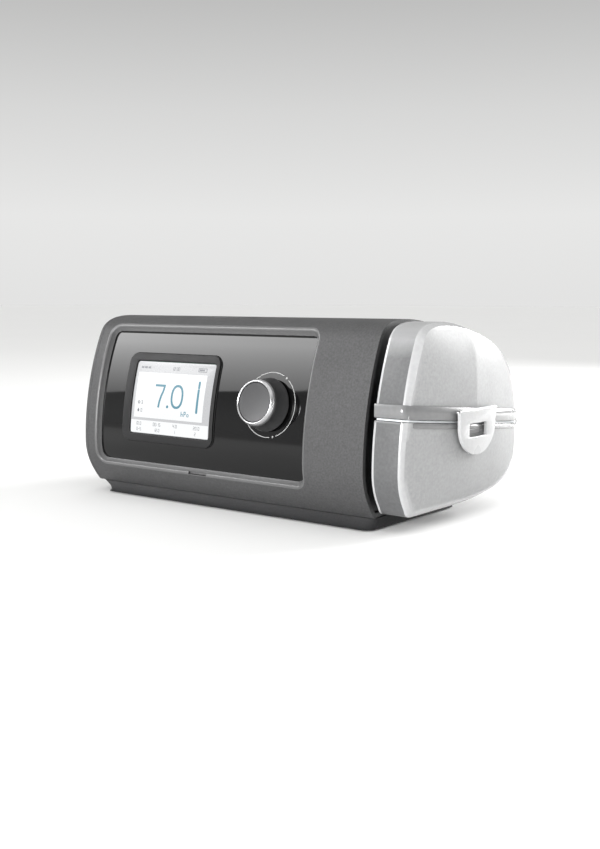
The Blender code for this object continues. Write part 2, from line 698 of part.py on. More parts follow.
def make_rear_fittings(plastic, filter_mat, metal):
    rear = HOUSING_DEPTH - 0.0002
    front = HOUSING_DEPTH - 0.0195
    # Hose connector in its round well, spun about the v axis.
    floor = 0.0015
    tall = rear - front
    outer = WELL_RADIUS + 0.002
    spin = Matrix.Translation((OUTLET_U, front, OUTLET_Z)) @ Matrix.Rotation(
        math.radians(-90), 4, "X")
    turned("hose_outlet", [(outer, tall), (outer, 0), (OUTLET_BORE, 0), (OUTLET_BORE, tall),
                           (OUTLET_RADIUS, tall), (OUTLET_RADIUS, floor),
                           (WELL_RADIUS, floor), (WELL_RADIUS, tall)], spin, plastic, 32)
    jack = box("power_jack", (JACK_U, HOUSING_DEPTH - 0.0157, JACK_LOW),
               (JACK_U + JACK_WIDTH, rear, JACK_LOW + JACK_HEIGHT), plastic)
    mid = (JACK_U + JACK_WIDTH / 2, JACK_LOW + JACK_HEIGHT / 2)
    boolean(jack, rod("jack_bore", (mid[0], HOUSING_DEPTH - 0.012, mid[1]),
                      (mid[0], HOUSING_DEPTH + 0.01, mid[1]), JACK_BORE))
    rod("power_jack_pin", (mid[0], HOUSING_DEPTH - 0.0117, mid[1]),
        (mid[0], HOUSING_DEPTH - 0.003, mid[1]), 0.0009, metal, 12)
    inner = HOUSING_DEPTH - REAR_THICK - GAP
    card = box("card_socket", (CARD_U + 0.003, inner - 0.015, CARD_LOW + 0.002),
               (CARD_U + CARD_LENGTH - 0.003, inner, CARD_LOW + 0.0075), metal)
    boolean(card, box("card_slot", (CARD_U + 0.0042, inner - 0.013, CARD_LOW + 0.0033),
                      (CARD_U + CARD_LENGTH - 0.0042, inner + 0.01, CARD_LOW + 0.0062)))
    holder = box("filter_box", (FILTER_U - 0.001, inner - 0.0153, FILTER_LOW - 0.001),
                 (FILTER_U + FILTER_LENGTH + 0.001, inner, FILTER_LOW + FILTER_HEIGHT + 0.001),
                 plastic)
    boolean(holder, box("filter_hollow", (FILTER_U + 0.0003, inner - 0.0138, FILTER_LOW + 0.0003),
                        (FILTER_U + FILTER_LENGTH - 0.0003, inner + 0.01,
                         FILTER_LOW + FILTER_HEIGHT - 0.0003)))
    u = FILTER_U + FILTER_LENGTH / 2
    z = filter_duct_z()
    boolean(holder, rod("filter_duct_cut", (u, inner - 0.03, z), (u, inner - 0.01, z),
                        DUCT_RADIUS - DUCT_WALL))
    box("air_filter", (FILTER_U + 0.0006, inner - 0.006, FILTER_LOW + 0.0006),
        (FILTER_U + FILTER_LENGTH - 0.0006, inner - 0.0005, FILTER_LOW + FILTER_HEIGHT - 0.0006),
        filter_mat)


def filter_duct_z():
    return FILTER_LOW + FILTER_HEIGHT - DUCT_RADIUS - 0.0005


def make_doors(mat):
    """Both doors have their origins on their hinge lines, at the rear face's edge."""
    filter_door = box("filter_door", (FILTER_U + GAP, HOUSING_DEPTH - DOOR_THICK, FILTER_LOW + GAP),
                      (FILTER_U + FILTER_LENGTH - GAP, HOUSING_DEPTH,
                       FILTER_LOW + FILTER_HEIGHT - GAP), mat)
    for k in range(5):
        z = FILTER_LOW + 0.004 + 0.0036 * k
        boolean(filter_door, box(f"filter_slot_{k}", (FILTER_U + 0.006, HOUSING_DEPTH - 0.01, z),
                                 (FILTER_U + FILTER_LENGTH - 0.006, HOUSING_DEPTH + 0.01,
                                  z + 0.0016)))
    card_door = box("card_door", (CARD_U + GAP, HOUSING_DEPTH - DOOR_THICK, CARD_LOW + GAP),
                    (CARD_U + CARD_LENGTH - GAP, HOUSING_DEPTH, CARD_LOW + CARD_HEIGHT - GAP), mat)
    set_origin(filter_door, (FILTER_U + GAP, HOUSING_DEPTH, FILTER_LOW))
    set_origin(card_door, (CARD_U, HOUSING_DEPTH, CARD_LOW + GAP))


def set_origin(obj, point):
    """Move an unturned object's origin to a joint's axis; its shape stays where it is."""
    shift = obj.location - Vector(point)
    obj.data.transform(Matrix.Translation(shift))
    obj.location = point


# ---------------------------------------------------------------- controls
def panel_sag(low, high):
    """How far the panel's curved back reaches in past its own middle height."""
    back = RECESS_DEPTH + PANEL_THICK
    middle, out = front_at((low + high) / 2, back)
    points = [front_at(low + (high - low) * k / 12, back)[0] for k in range(13)]
    return max((Vector(middle) - Vector(point)).dot(out) for point in points)


def make_panel(gloss, bezel_mat, glass, lcd_mat):
    heights = (RECESS_LOW - PANEL_LAP, RECESS_TOP + 0.0044)
    span = (RECESS_LEFT - PANEL_LAP, RECESS_RIGHT + PANEL_LAP)
    panel = front_strip("control_panel", span, heights, RECESS_DEPTH, PANEL_THICK, gloss)
    right = SCREEN_LEFT + SCREEN_WIDTH
    top = SCREEN_LOW + SCREEN_HEIGHT
    opening = rounded(SCREEN_LEFT, right, SCREEN_LOW, top, LENS_CORNER, 3)
    window_cut = slab_y("window_cut", [opening], -0.02, 0.06)
    boolean(panel, window_cut)
    base, out = front_at(KNOB_Z, RECESS_DEPTH)
    middle = Vector((KNOB_U, base[0], base[1]))
    normal = Vector((0, out.x, out.y))
    boolean(panel, rod("shaft_cut", middle - normal * 0.01, middle + normal * 0.01,
                       SHAFT_RADIUS + 0.001))
    edge = rounded(SCREEN_LEFT - BEZEL_LEFT_EDGE, right + BEZEL_RIGHT_EDGE,
                   SCREEN_LOW - BEZEL_EDGE, top + BEZEL_EDGE, BEZEL_CORNER, 4)
    margin = 0.002
    bezel = front_strip("display_bezel",
                        (SCREEN_LEFT - BEZEL_LEFT_EDGE - margin, right + BEZEL_RIGHT_EDGE + margin),
                        (SCREEN_LOW - BEZEL_EDGE - margin, top + BEZEL_EDGE + margin),
                        RECESS_DEPTH - GAP - BEZEL_PROUD, BEZEL_PROUD, bezel_mat, edge, 8)
    boolean(bezel, window_cut)
    pane = rounded(SCREEN_LEFT + GAP, right - GAP, SCREEN_LOW + GAP, top - GAP, LENS_CORNER, 3)
    front_strip("display_window", (SCREEN_LEFT - margin, right + margin),
                (SCREEN_LOW - margin, top + margin), RECESS_DEPTH - BEZEL_PROUD + 0.0003,
                0.0022, glass, pane, 8)
    # Flat display module, leaning with the panel behind its curved window.
    mid_z = SCREEN_LOW + SCREEN_HEIGHT / 2
    behind = panel_sag(SCREEN_LOW - 0.002, top + 0.002) + LCD_CLEAR + LCD_THICK / 2
    base, out = front_at(mid_z, RECESS_DEPTH + PANEL_THICK + behind)
    lean = math.atan2(out.y, -out.x)
    matrix = Matrix.Translation((SCREEN_LEFT + SCREEN_WIDTH / 2, base[0], base[1])) \
        @ Matrix.Rotation(-lean, 4, "X")
    bm = bmesh.new()
    bmesh.ops.create_cube(bm, size=1, matrix=Matrix.Diagonal(
        (SCREEN_WIDTH + 0.004, LCD_THICK, SCREEN_HEIGHT + 0.004, 1)))
    place("lcd_module", mesh_from(bm, "lcd_module"), matrix, lcd_mat)


def dial_frame():
    """Matrix whose Z axis is the dial's axis, pointing out of the panel."""
    base, out = front_at(KNOB_Z, RECESS_DEPTH)
    normal = Vector((0, out.x, out.y))
    turn = Vector((0, 0, 1)).rotation_difference(normal).to_matrix().to_4x4()
    return Matrix.Translation((KNOB_U, base[0], base[1])) @ turn


def make_dial(dark, chrome, face_mat, steel, body_mat):
    frame = dial_frame()
    foot = 0.0008
    collar = KNOB_LENGTH - 0.0034
    bore = SHAFT_RADIUS + GAP
    waist = KNOB_TIP_RADIUS + 0.0009
    turned("knob_body", [(waist, collar), (waist, collar - 0.001), (KNOB_RADIUS, foot + 0.001),
                         (KNOB_RADIUS - 0.0006, foot), (bore, foot), (bore, collar)],
           frame, dark, 32)
    low = collar + GAP
    inner = KNOB_TIP_RADIUS - 0.0017
    turned("knob_ring", [(KNOB_TIP_RADIUS - 0.0004, KNOB_LENGTH),
                         (KNOB_TIP_RADIUS, KNOB_LENGTH - 0.0006),
                         (KNOB_TIP_RADIUS + 0.0004, low + 0.0014),
                         (KNOB_TIP_RADIUS + 0.0011, low + 0.001), (waist, low), (inner, low),
                         (inner, KNOB_LENGTH)], frame, chrome, 32)
    disc = rod("knob_face", (0, 0, low), (0, 0, KNOB_LENGTH - 0.0006), inner - GAP, face_mat, 32)
    disc.matrix_basis = frame @ disc.matrix_basis
    shaft = rod("encoder_shaft", (0, 0, -0.0075), (0, 0, collar - 0.0008), SHAFT_RADIUS, steel)
    shaft.matrix_basis = frame @ shaft.matrix_basis
    half = 0.0061
    block = box("encoder_body", (-half, -half, -0.0085), (half, half, -0.0024), body_mat)
    block.matrix_basis = frame @ block.matrix_basis
    bore_cut = rod("encoder_bore", (0, 0, -0.02), (0, 0, 0.01), SHAFT_RADIUS + GAP)
    bore_cut.matrix_basis = frame @ bore_cut.matrix_basis
    boolean(block, bore_cut)


def button_outline(grow):
    half = BUTTON_WIDTH / 2 + grow
    length = BUTTON_LENGTH / 2 + grow
    return rounded(BUTTON_U - length, BUTTON_U + length, BUTTON_V - half, BUTTON_V + half,
                   half - 1e-5, 6)


def make_button(mat, board_mat, switch_mat):
    top = HOUSING_HEIGHT - 0.0002
    slab_z("start_button", [button_outline(0)], top - BUTTON_DEPTH, top, mat)
    low = top - BUTTON_DEPTH - BUTTON_TRAVEL - 0.0004
    box("start_switch", (BUTTON_U - 0.005, BUTTON_V - 0.004, low - 0.0075),
        (BUTTON_U + 0.005, BUTTON_V + 0.004, low), switch_mat)
    box("key_board", (BUTTON_U - 0.014, BUTTON_V - 0.006, low - 0.0075 - GAP - BOARD_THICK),
        (BUTTON_U + 0.014, BUTTON_V + 0.008, low - 0.0075 - GAP), board_mat)


def make_electronics(board_mat, tray_mat, sensor_mat):
    board = box("main_board", (0.024, BOARD_V, 0.030),
                (KNOB_U + 0.019, BOARD_V + BOARD_THICK, 0.098), board_mat)
    parts = ((0.040, 0.060, 0.070, 0.090), (0.075, 0.100, 0.072, 0.086), (0.120, 0.140, 0.074, 0.092))
    for index, (u0, u1, z0, z1) in enumerate(parts):
        boolean(board, box(f"board_chip_{index}", (u0, BOARD_V + BOARD_THICK / 2, z0),
                           (u1, BOARD_V + BOARD_THICK + 0.003, z1)), "UNION")
    slab_z("chassis_tray", [rounded(0.012, INNER_LEFT - 0.008, 0.019, 0.111, 0.004, 3)],
           TRAY_LOW, TRAY_LOW + TRAY_THICK, tray_mat)
    low = PORT_IN_Z + DUCT_RADIUS + GAP
    left = INNER_LEFT + 0.011
    box("flow_sensor", (left, PORT_IN_V - 0.006, low), (left + 0.012, PORT_IN_V + 0.006, low + 0.007),
        sensor_mat)


# ---------------------------------------------------------------- blower
def make_blower(case_mat, metal, wheel_mat, duct_mat):
    spot = Matrix.Translation((BLOWER_U, BLOWER_V, 0))
    inner = BLOWER_RADIUS - BLOWER_WALL
    hole = ROTOR_RADIUS + 0.003
    lower = turned("blower_lower_case", [
        (BLOWER_RADIUS, BLOWER_SPLIT - GAP), (BLOWER_RADIUS, BLOWER_LOW), (hole, BLOWER_LOW),
        (hole, BLOWER_LOW + BLOWER_WALL), (inner, BLOWER_LOW + BLOWER_WALL),
        (inner, BLOWER_SPLIT - GAP)], spot, case_mat, 32)
    mouth = DUCT_RADIUS + 0.003
    upper = turned("blower_upper_case", [
        (mouth, BLOWER_TOP + 0.006), (mouth, BLOWER_TOP), (BLOWER_RADIUS, BLOWER_TOP),
        (BLOWER_RADIUS, BLOWER_SPLIT), (inner, BLOWER_SPLIT), (inner, BLOWER_TOP - BLOWER_WALL),
        (mouth - BLOWER_WALL, BLOWER_TOP - BLOWER_WALL), (mouth - BLOWER_WALL, BLOWER_TOP + 0.006)],
        spot, case_mat, 32)
    outlet = rod("outlet_bore", (BLOWER_U, duct_v(), BLOWER_SPLIT),
                 (BLOWER_U + BLOWER_RADIUS + 0.01, duct_v(), BLOWER_SPLIT),
                 DUCT_RADIUS - DUCT_WALL)
    boolean(lower, outlet)
    boolean(upper, outlet)
    turned("motor_stator", [
        (STATOR_RADIUS, BLOWER_LOW - 0.0005), (STATOR_RADIUS, TRAY_LOW + TRAY_THICK + GAP),
        (ROTOR_RADIUS + GAP, TRAY_LOW + TRAY_THICK + GAP), (ROTOR_RADIUS + GAP, BLOWER_LOW - 0.0005)],
        spot, metal)
    floor = BLOWER_LOW + BLOWER_WALL + 0.002
    wheel = turned("impeller", [
        (0.006, floor + 0.013), (0.0075, floor + 0.002), (IMPELLER_RADIUS, floor + 0.0015),
        (IMPELLER_RADIUS, floor), (ROTOR_RADIUS + GAP, floor), (ROTOR_RADIUS + GAP, floor + 0.013)],
        spot, wheel_mat)
    bm = bmesh.new()
    blades = 9
    for k in range(blades):
        size = Matrix.Diagonal((IMPELLER_RADIUS - 0.0095, 0.0012, 0.010, 1))
        middle = Matrix.Translation(((IMPELLER_RADIUS + 0.0085) / 2, 0, floor + 0.006))
        sweep = Matrix.Translation((0, 0.004, 0))
        bmesh.ops.create_cube(bm, size=1, matrix=Matrix.Rotation(
            2 * math.pi * k / blades, 4, "Z") @ sweep @ middle @ size)
    boolean(wheel, place("blade_set", mesh_from(bm, "blade_set"), spot), "UNION")
    rod("rotor_shaft", (BLOWER_U, BLOWER_V, TRAY_LOW + TRAY_THICK + 0.001),
        (BLOWER_U, BLOWER_V, floor + 0.012), ROTOR_RADIUS, metal, 16)
    make_ducts(duct_mat)


def duct_v():
    return BLOWER_V - 0.026


def make_ducts(mat):
    wall_u = HOUSING_LENGTH - 0.0045 - GAP
    start = BLOWER_U + math.sqrt(BLOWER_RADIUS ** 2 - (BLOWER_V - duct_v() - DUCT_RADIUS) ** 2)
    v = duct_v()
    lift = BLOWER_SPLIT
    over = INNER_LEFT
    level = (over - 0.030 - start) * 0.3125
    tube("supply_duct", [(start + 0.0006, v, lift), (start + level, v, lift),
                         (over - 0.030, v - 0.001, lift + 0.013),
                         (over - 0.016, v - 0.002, PORT_IN_Z - 0.016),
                         (over, PORT_IN_V, PORT_IN_Z - 0.002), (over + 0.030, PORT_IN_V, PORT_IN_Z),
                         (wall_u, PORT_IN_V, PORT_IN_Z)], DUCT_RADIUS, DUCT_WALL, mat)
    floor = HOUSING_DEPTH - 0.0195 - GAP
    tube("return_duct", [(wall_u, PORT_OUT_V, PORT_OUT_Z), (over + 0.030, PORT_OUT_V, PORT_OUT_Z),
                         (over - 0.004, PORT_OUT_V + 0.003, PORT_OUT_Z),
                         (OUTLET_U + 0.004, PORT_OUT_V + 0.013, OUTLET_Z + 0.017),
                         (OUTLET_U, floor - 0.007, OUTLET_Z + 0.002), (OUTLET_U, floor, OUTLET_Z)],
         DUCT_RADIUS, DUCT_WALL, mat)
    u = FILTER_U + FILTER_LENGTH / 2
    z = filter_duct_z()
    back = HOUSING_DEPTH - REAR_THICK - GAP - 0.0153 - GAP
    tube("inlet_duct", [(u, back, z), (u, back - 0.004, z), (u, back - 0.008, z + 0.001),
                        (u + 0.002, back - 0.015, z + 0.009),
                        (u + 0.007, back - 0.020, z + 0.021),
                        (BLOWER_U - 0.008, BLOWER_V + 0.0105, BLOWER_TOP + 0.0345),
                        (BLOWER_U - 0.0005, BLOWER_V + 0.0015, BLOWER_TOP + 0.027),
                        (BLOWER_U, BLOWER_V, BLOWER_TOP + 0.018),
                        (BLOWER_U, BLOWER_V, BLOWER_TOP + 0.0073)], DUCT_RADIUS, DUCT_WALL, mat)


# ---------------------------------------------------------------- heater
def make_heater(base_mat, plate_mat, spring_mat):
    tray_low = PLINTH_LOW_Z + PLINTH_PLATE + GAP
    tray_top = HEATER_TOP - 0.001
    rim = 0.0045
    tray = box("heater_base", (HEATER_U - rim, HEATER_V - rim, tray_low),
               (HEATER_U + HEATER_LENGTH + rim, HEATER_V + HEATER_WIDTH + rim, tray_top), base_mat)
    room = 0.0005
    boolean(tray, box("heater_hollow", (HEATER_U - room, HEATER_V - room, tray_low + 0.0015),
                      (HEATER_U + HEATER_LENGTH + room, HEATER_V + HEATER_WIDTH + room, 0.03)))
    box("heater_plate", (HEATER_U, HEATER_V, HEATER_TOP - HEATER_THICK),
        (HEATER_U + HEATER_LENGTH, HEATER_V + HEATER_WIDTH, HEATER_TOP), plate_mat)
    low = tray_low + 0.0015 + GAP + SPRING_WIRE
    high = HEATER_TOP - HEATER_THICK - GAP - SPRING_WIRE
    for index, share in enumerate((0.22, 0.78)):
        centre = (HEATER_U + HEATER_LENGTH * share, HEATER_V + HEATER_WIDTH / 2)
        coil(f"heater_spring_{index + 1}", centre, low, high, spring_mat)


def coil(name, centre, low, high, mat):
    data = bpy.data.curves.new(name, "CURVE")
    data.dimensions = "3D"
    data.bevel_depth = SPRING_WIRE
    data.bevel_resolution = 1
    data.use_fill_caps = True
    count = SPRING_TURNS * 8
    spline = data.splines.new("POLY")
    spline.points.add(count)
    for k, point in enumerate(spline.points):
        angle = 2 * math.pi * SPRING_TURNS * k / count
        point.co = (centre[0] + SPRING_RADIUS * math.cos(angle),
                    centre[1] + SPRING_RADIUS * math.sin(angle),
                    low + (high - low) * k / count, 1)
    obj = bpy.data.objects.new(name, data)
    CUTTERS.objects.link(obj)
    bpy.context.view_layer.update()
    place(name, baked(obj, name), None, mat)


# ---------------------------------------------------------------- water chamber
def chamber_solid(name, inset, left_u, mat=None):
    """Closed half-egg: straight along u, a bevel, then the bowed end."""
    outline = chamber_outline(inset)
    corner = chamber_outline(inset + CHAMBER_BEVEL)
    centre = (BOW_MID_V, BOW_MID_Z)
    rings = [[(left_u, v, z) for v, z in outline],
             [(CORNER_U - CHAMBER_BEVEL - inset, v, z) for v, z in outline]]
    for shrink in (1, 0.75, 0.4):
        ring = []
        for v, z in corner:
            v = centre[0] + (v - centre[0]) * shrink
            z = centre[1] + (z - centre[1]) * shrink
            ring.append((CORNER_U - inset + bow(v, z), v, z))
        rings.append(ring)
    tip = (CORNER_U - inset + CHAMBER_BOW, *centre)
    return lofted(name, rings, mat, tip=tip)


def split_box(name, upper, drop=0.0):
    """Big block above or below the split plane, tilted with it."""
    reach = HOUSING_HEIGHT if upper else -HOUSING_HEIGHT
    bm = bmesh.new()
    for z in (0, 1):
        for v in (-0.05, HINGE_V + 0.05):
            for u in (DOCK_U - 0.05, RIDGE_U + 0.05):
                bm.verts.new((u, v, split_z(v, drop) + reach * z))
    bmesh.ops.convex_hull(bm, input=bm.verts)
    return place(name, mesh_from(bm, name))


def split_ring(name, outer, inner, low, high):
    """Flat ring between two plan outlines, sheared to lie along the split plane."""
    mesh = flat_mesh(name, [plan_outline(outer), plan_outline(inner)[::-1]], high - low)
    middle = SPLIT_Z + (low + high) / 2
    for vertex in mesh.vertices:
        vertex.co.z += middle - SPLIT_SLOPE * vertex.co.y
    return mesh


def make_tank(mat, deck_mat, metal):
    tank = chamber_solid("tank_body", 0, DOCK_U, mat)
    rim = place("tank_rim", split_ring("tank_rim", BELT_PROUD * 0.6, -0.001,
                                       -SEAL_THICK - 2 * GAP - RIM_HEIGHT, 0.001))
    boolean(tank, rim, "UNION")
    boolean(tank, split_box("tank_top_cut", True, SEAL_THICK + 2 * GAP))
    inner = box("tank_inner", (INNER_LEFT, INNER_FRONT, INNER_LOW),
                (DOCK_U + 0.0015, INNER_BACK, INNER_TOP))
    boolean(tank, inner, "UNION")
    boolean(tank, chamber_solid("tank_hollow", CHAMBER_WALL, DOCK_U + CHAMBER_WALL))
    boolean(tank, box("tank_inner_hollow",
                      (INNER_LEFT + CHAMBER_WALL, INNER_FRONT + CHAMBER_WALL, INNER_LOW + 0.003),
                      (DOCK_U + 0.004, INNER_BACK - CHAMBER_WALL, INNER_TOP - 0.0005)))
    boolean(tank, box("tank_fill_gap",
                      (INNER_LEFT + CHAMBER_WALL, INNER_FRONT + CHAMBER_WALL, INNER_TOP - 0.002),
                      (DOCK_U - 0.001, INNER_BACK - CHAMBER_WALL, INNER_TOP + 0.01)))
    plate = (HEATER_U + 0.001, HEATER_V + 0.001)
    size = (HEATER_LENGTH - 0.002, HEATER_WIDTH - 0.002)
    low = HEATER_TOP + GAP
    boolean(tank, box("tank_plate_cut", (plate[0] - GAP, plate[1] - GAP, 0),
                      (plate[0] + size[0] + GAP, plate[1] + size[1] + GAP, low + 0.0015)))
    box("tank_heat_plate", (*plate, low), (plate[0] + size[0], plate[1] + size[1], low + 0.0012),
        metal)
    box("tank_deck", (INNER_LEFT, INNER_FRONT, INNER_TOP + GAP),
        (DOCK_U - GAP, INNER_BACK, INNER_TOP + GAP + DECK_THICK), deck_mat)
    catch = (RIDGE_U - 0.0015, RIDGE_U + BELT_PROUD)
    boolean(tank, box("catch_nose", (catch[0], LATCH_V - 0.007, SLOT_LOW + 0.0012),
                      (catch[1], LATCH_V + 0.007, SLOT_LOW + 0.0042)), "UNION")
    for index, (u0, u1) in enumerate(knuckles("lid")):
        boolean(tank, rod(f"tank_knuckle_cut_{index}", (u0 - GAP, HINGE_V, hinge_z()),
                          (u1 + GAP, HINGE_V, hinge_z()), HINGE_RADIUS + GAP))
    (u0, u1), = knuckles("tank")
    boolean(tank, rod("tank_knuckle", (u0, HINGE_V, hinge_z()), (u1, HINGE_V, hinge_z()),
                      HINGE_RADIUS), "UNION")
    boolean(tank, hinge_bore("tank_pin_bore"))
    return tank


def hinge_z():
    return split_z(CHAMBER_BACK) - 0.0008


def knuckles(owner):
    """Spans of the lid's two knuckles, or of the tank's one between them."""
    left = DOCK_U + 0.001
    if owner == "lid":
        return ((left, left + 0.004), (left + 0.012, left + 0.016))
    return ((left + 0.004 + GAP, left + 0.012 - GAP),)


def hinge_bore(name):
    return rod(name, (DOCK_U - 0.01, HINGE_V, hinge_z()), (DOCK_U + 0.03, HINGE_V, hinge_z()),
               HINGE_PIN_RADIUS + GAP, None, 16)


def make_lid(mat, seal_mat, metal):
    lid = chamber_solid("lid_shell", 0, DOCK_U, mat)
    belt = place("lid_belt", split_ring("lid_belt", BELT_PROUD, -0.001, -0.002, BELT_HEIGHT))
    boolean(lid, belt, "UNION")
    boolean(lid, split_box("lid_low_cut", False))
    boolean(lid, chamber_solid("lid_hollow", CHAMBER_WALL, DOCK_U + CHAMBER_WALL))
    for name, v, z in ports():
        boolean(lid, rod(f"lid_{name}_cut", (DOCK_U - 0.01, v, z), (DOCK_U + 0.004, v, z),
                         PORT_RADIUS))
    (u0, u1), = knuckles("tank")
    boolean(lid, rod("lid_knuckle_cut", (u0 - GAP, HINGE_V, hinge_z()),
                     (u1 + GAP, HINGE_V, hinge_z()), HINGE_RADIUS + GAP))
    for index, (u0, u1) in enumerate(knuckles("lid")):
        boolean(lid, rod(f"lid_knuckle_{index}", (u0, HINGE_V, hinge_z()),
                         (u1, HINGE_V, hinge_z()), HINGE_RADIUS), "UNION")
    boolean(lid, hinge_bore("lid_pin_bore"))
    half = LATCH_WIDTH / 2
    for index, side in enumerate((-1, 1)):
        near = LATCH_V + side * (half + GAP)
        far = LATCH_V + side * (half + 0.002)
        boolean(lid, box(f"latch_lug_{index}",
                         (RIDGE_U - 0.0025, min(near, far), LATCH_HINGE_Z - 0.0016),
                         (LATCH_U + LATCH_THICK - 0.0002, max(near, far), LATCH_HINGE_Z + 0.001)),
                "UNION")
    boolean(lid, rod("latch_pin_cut", (latch_axis_u(), LATCH_V - 0.04, LATCH_HINGE_Z),
                     (latch_axis_u(), LATCH_V + 0.04, LATCH_HINGE_Z), PIN_RADIUS + GAP, None, 12))
    place("lid_seal", split_ring("lid_seal", -0.0006, -0.0034, -GAP - SEAL_THICK, -GAP), None,
          seal_mat)
    left = DOCK_U + 0.001
    rod("lid_hinge_pin", (left + 0.0002, HINGE_V, hinge_z()), (left + 0.0158, HINGE_V, hinge_z()),
        HINGE_PIN_RADIUS, metal, 16)
    return lid


def latch_axis_u():
    return LATCH_U + LATCH_THICK / 2


def make_latch(mat, metal):
    """U-shaped clip that hangs on the lid's belt; its slot shows the tank's catch."""
    half = LATCH_WIDTH / 2
    outline = [(LATCH_V - half, LATCH_HINGE_Z)]
    depth = LATCH_HINGE_Z - LATCH_LOW
    for k in range(13):
        angle = math.radians(180 + 180 * k / 12)
        bend = abs(math.sin(angle)) ** 0.75
        outline.append((LATCH_V + half * 0.97 * math.cos(angle),
                        LATCH_HINGE_Z - depth * 0.45 - depth * 0.55 * bend))
    outline.append((LATCH_V + half, LATCH_HINGE_Z))
    slot = rounded(LATCH_V - SLOT_WIDTH / 2, LATCH_V + SLOT_WIDTH / 2, SLOT_LOW,
                   SLOT_LOW + SLOT_HEIGHT, 0.0008, 2)
    plate = slab_x("latch_plate", [outline, slot[::-1]], LATCH_U, LATCH_U + LATCH_THICK, mat)
    barrel = rod("latch_barrel", (latch_axis_u(), LATCH_V - half, LATCH_HINGE_Z),
                 (latch_axis_u(), LATCH_V + half, LATCH_HINGE_Z), LATCH_THICK / 2, None, 16)
    boolean(plate, barrel, "UNION")
    boolean(plate, rod("latch_bore", (latch_axis_u(), LATCH_V - 0.04, LATCH_HINGE_Z),
                       (latch_axis_u(), LATCH_V + 0.04, LATCH_HINGE_Z), PIN_RADIUS + GAP, None, 12))
    rod("latch_pin", (latch_axis_u(), LATCH_V - half - 0.0018, LATCH_HINGE_Z),
        (latch_axis_u(), LATCH_V + half + 0.0018, LATCH_HINGE_Z), PIN_RADIUS, metal, 12)


# ---------------------------------------------------------------- assembly
def knob_reach():
    """How far the dial's lower front edge stands in front of the housing."""
    base, out = front_at(KNOB_Z, RECESS_DEPTH)
    return -(base[0] + out.x * KNOB_LENGTH - out.y * KNOB_TIP_RADIUS)


def clear_scene():
    for obj in list(bpy.data.objects):
        bpy.data.objects.remove(obj)
    bpy.context.scene.collection.children.link(COLLECTION)
    bpy.context.scene.collection.children.link(CUTTERS)


def make_root():
    root = bpy.data.objects.new("ventilator_corner", None)
    COLLECTION.objects.link(root)
    depth = HOUSING_DEPTH + knob_reach()
    root.location = (-OVERALL_LENGTH / 2, knob_reach() - depth / 2, 0)
    return root


def build():
    shell = material("charcoal_shell", (0.085, 0.085, 0.088), 0.55)
    plinth = material("dark_base", (0.045, 0.045, 0.047), 0.6)
    black = material("black_plastic", (0.018, 0.018, 0.02), 0.5)
    gloss = material("gloss_black", (0.01, 0.01, 0.011), 0.08)
    bezel = material("bezel_grey", (0.06, 0.06, 0.063), 0.4)
    glass = material("clear_window", (0.9, 0.93, 0.95), 0.05, 0, 0.3)
    lcd = material("lcd_white", (0.85, 0.87, 0.88), 0.3)
    chrome = material("chrome", (0.8, 0.8, 0.82), 0.12, 1)
    satin = material("satin_dark", (0.07, 0.07, 0.075), 0.35, 0.6)
    steel = material("steel", (0.55, 0.55, 0.57), 0.3, 1)
    aluminium = material("aluminium", (0.75, 0.76, 0.78), 0.35, 1)
    chamber = material("chamber_frosted", (0.62, 0.63, 0.64), 0.4)
    rubber = material("grey_rubber", (0.03, 0.03, 0.03), 0.85)
    silicone = material("silicone", (0.7, 0.72, 0.74), 0.6)
    board = material("board_green", (0.03, 0.13, 0.07), 0.5)
    white = material("white_plastic", (0.75, 0.75, 0.73), 0.5)
    foam = material("filter_foam", (0.6, 0.6, 0.58), 0.95)

    make_sleeve(shell)
    make_end_cover(shell)
    make_plinth(plinth)
    make_feet_and_screws(rubber, steel)
    make_dock_wall(black)
    make_bay(black)
    make_port_seals(silicone)
    make_rear_panel(plinth)
    make_rear_fittings(black, foam, steel)
    make_doors(plinth)
    make_panel(gloss, bezel, glass, lcd)
    make_dial(black, chrome, satin, steel, black)
    make_button(shell, board, black)
    make_electronics(board, black, white)
    make_blower(white, steel, white, silicone)
    make_heater(white, aluminium, steel)
    make_tank(chamber, chamber, aluminium)
    make_lid(chamber, silicone, steel)
    make_latch(chamber, steel)


clear_scene()
ROOT = make_root()
build()
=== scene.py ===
"""Looks for the home sleep-therapy ventilator: fine skins, materials, light and camera.

Pieces are modelled from the housing's own corner: u runs right from its left end,
v runs back from its foremost line and z runs up from the table. ORIGIN is that
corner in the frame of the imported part.
"""

from contextlib import contextmanager
import math

import bmesh
import bpy
from mathutils import Matrix, Vector
from mathutils.geometry import interpolate_bezier


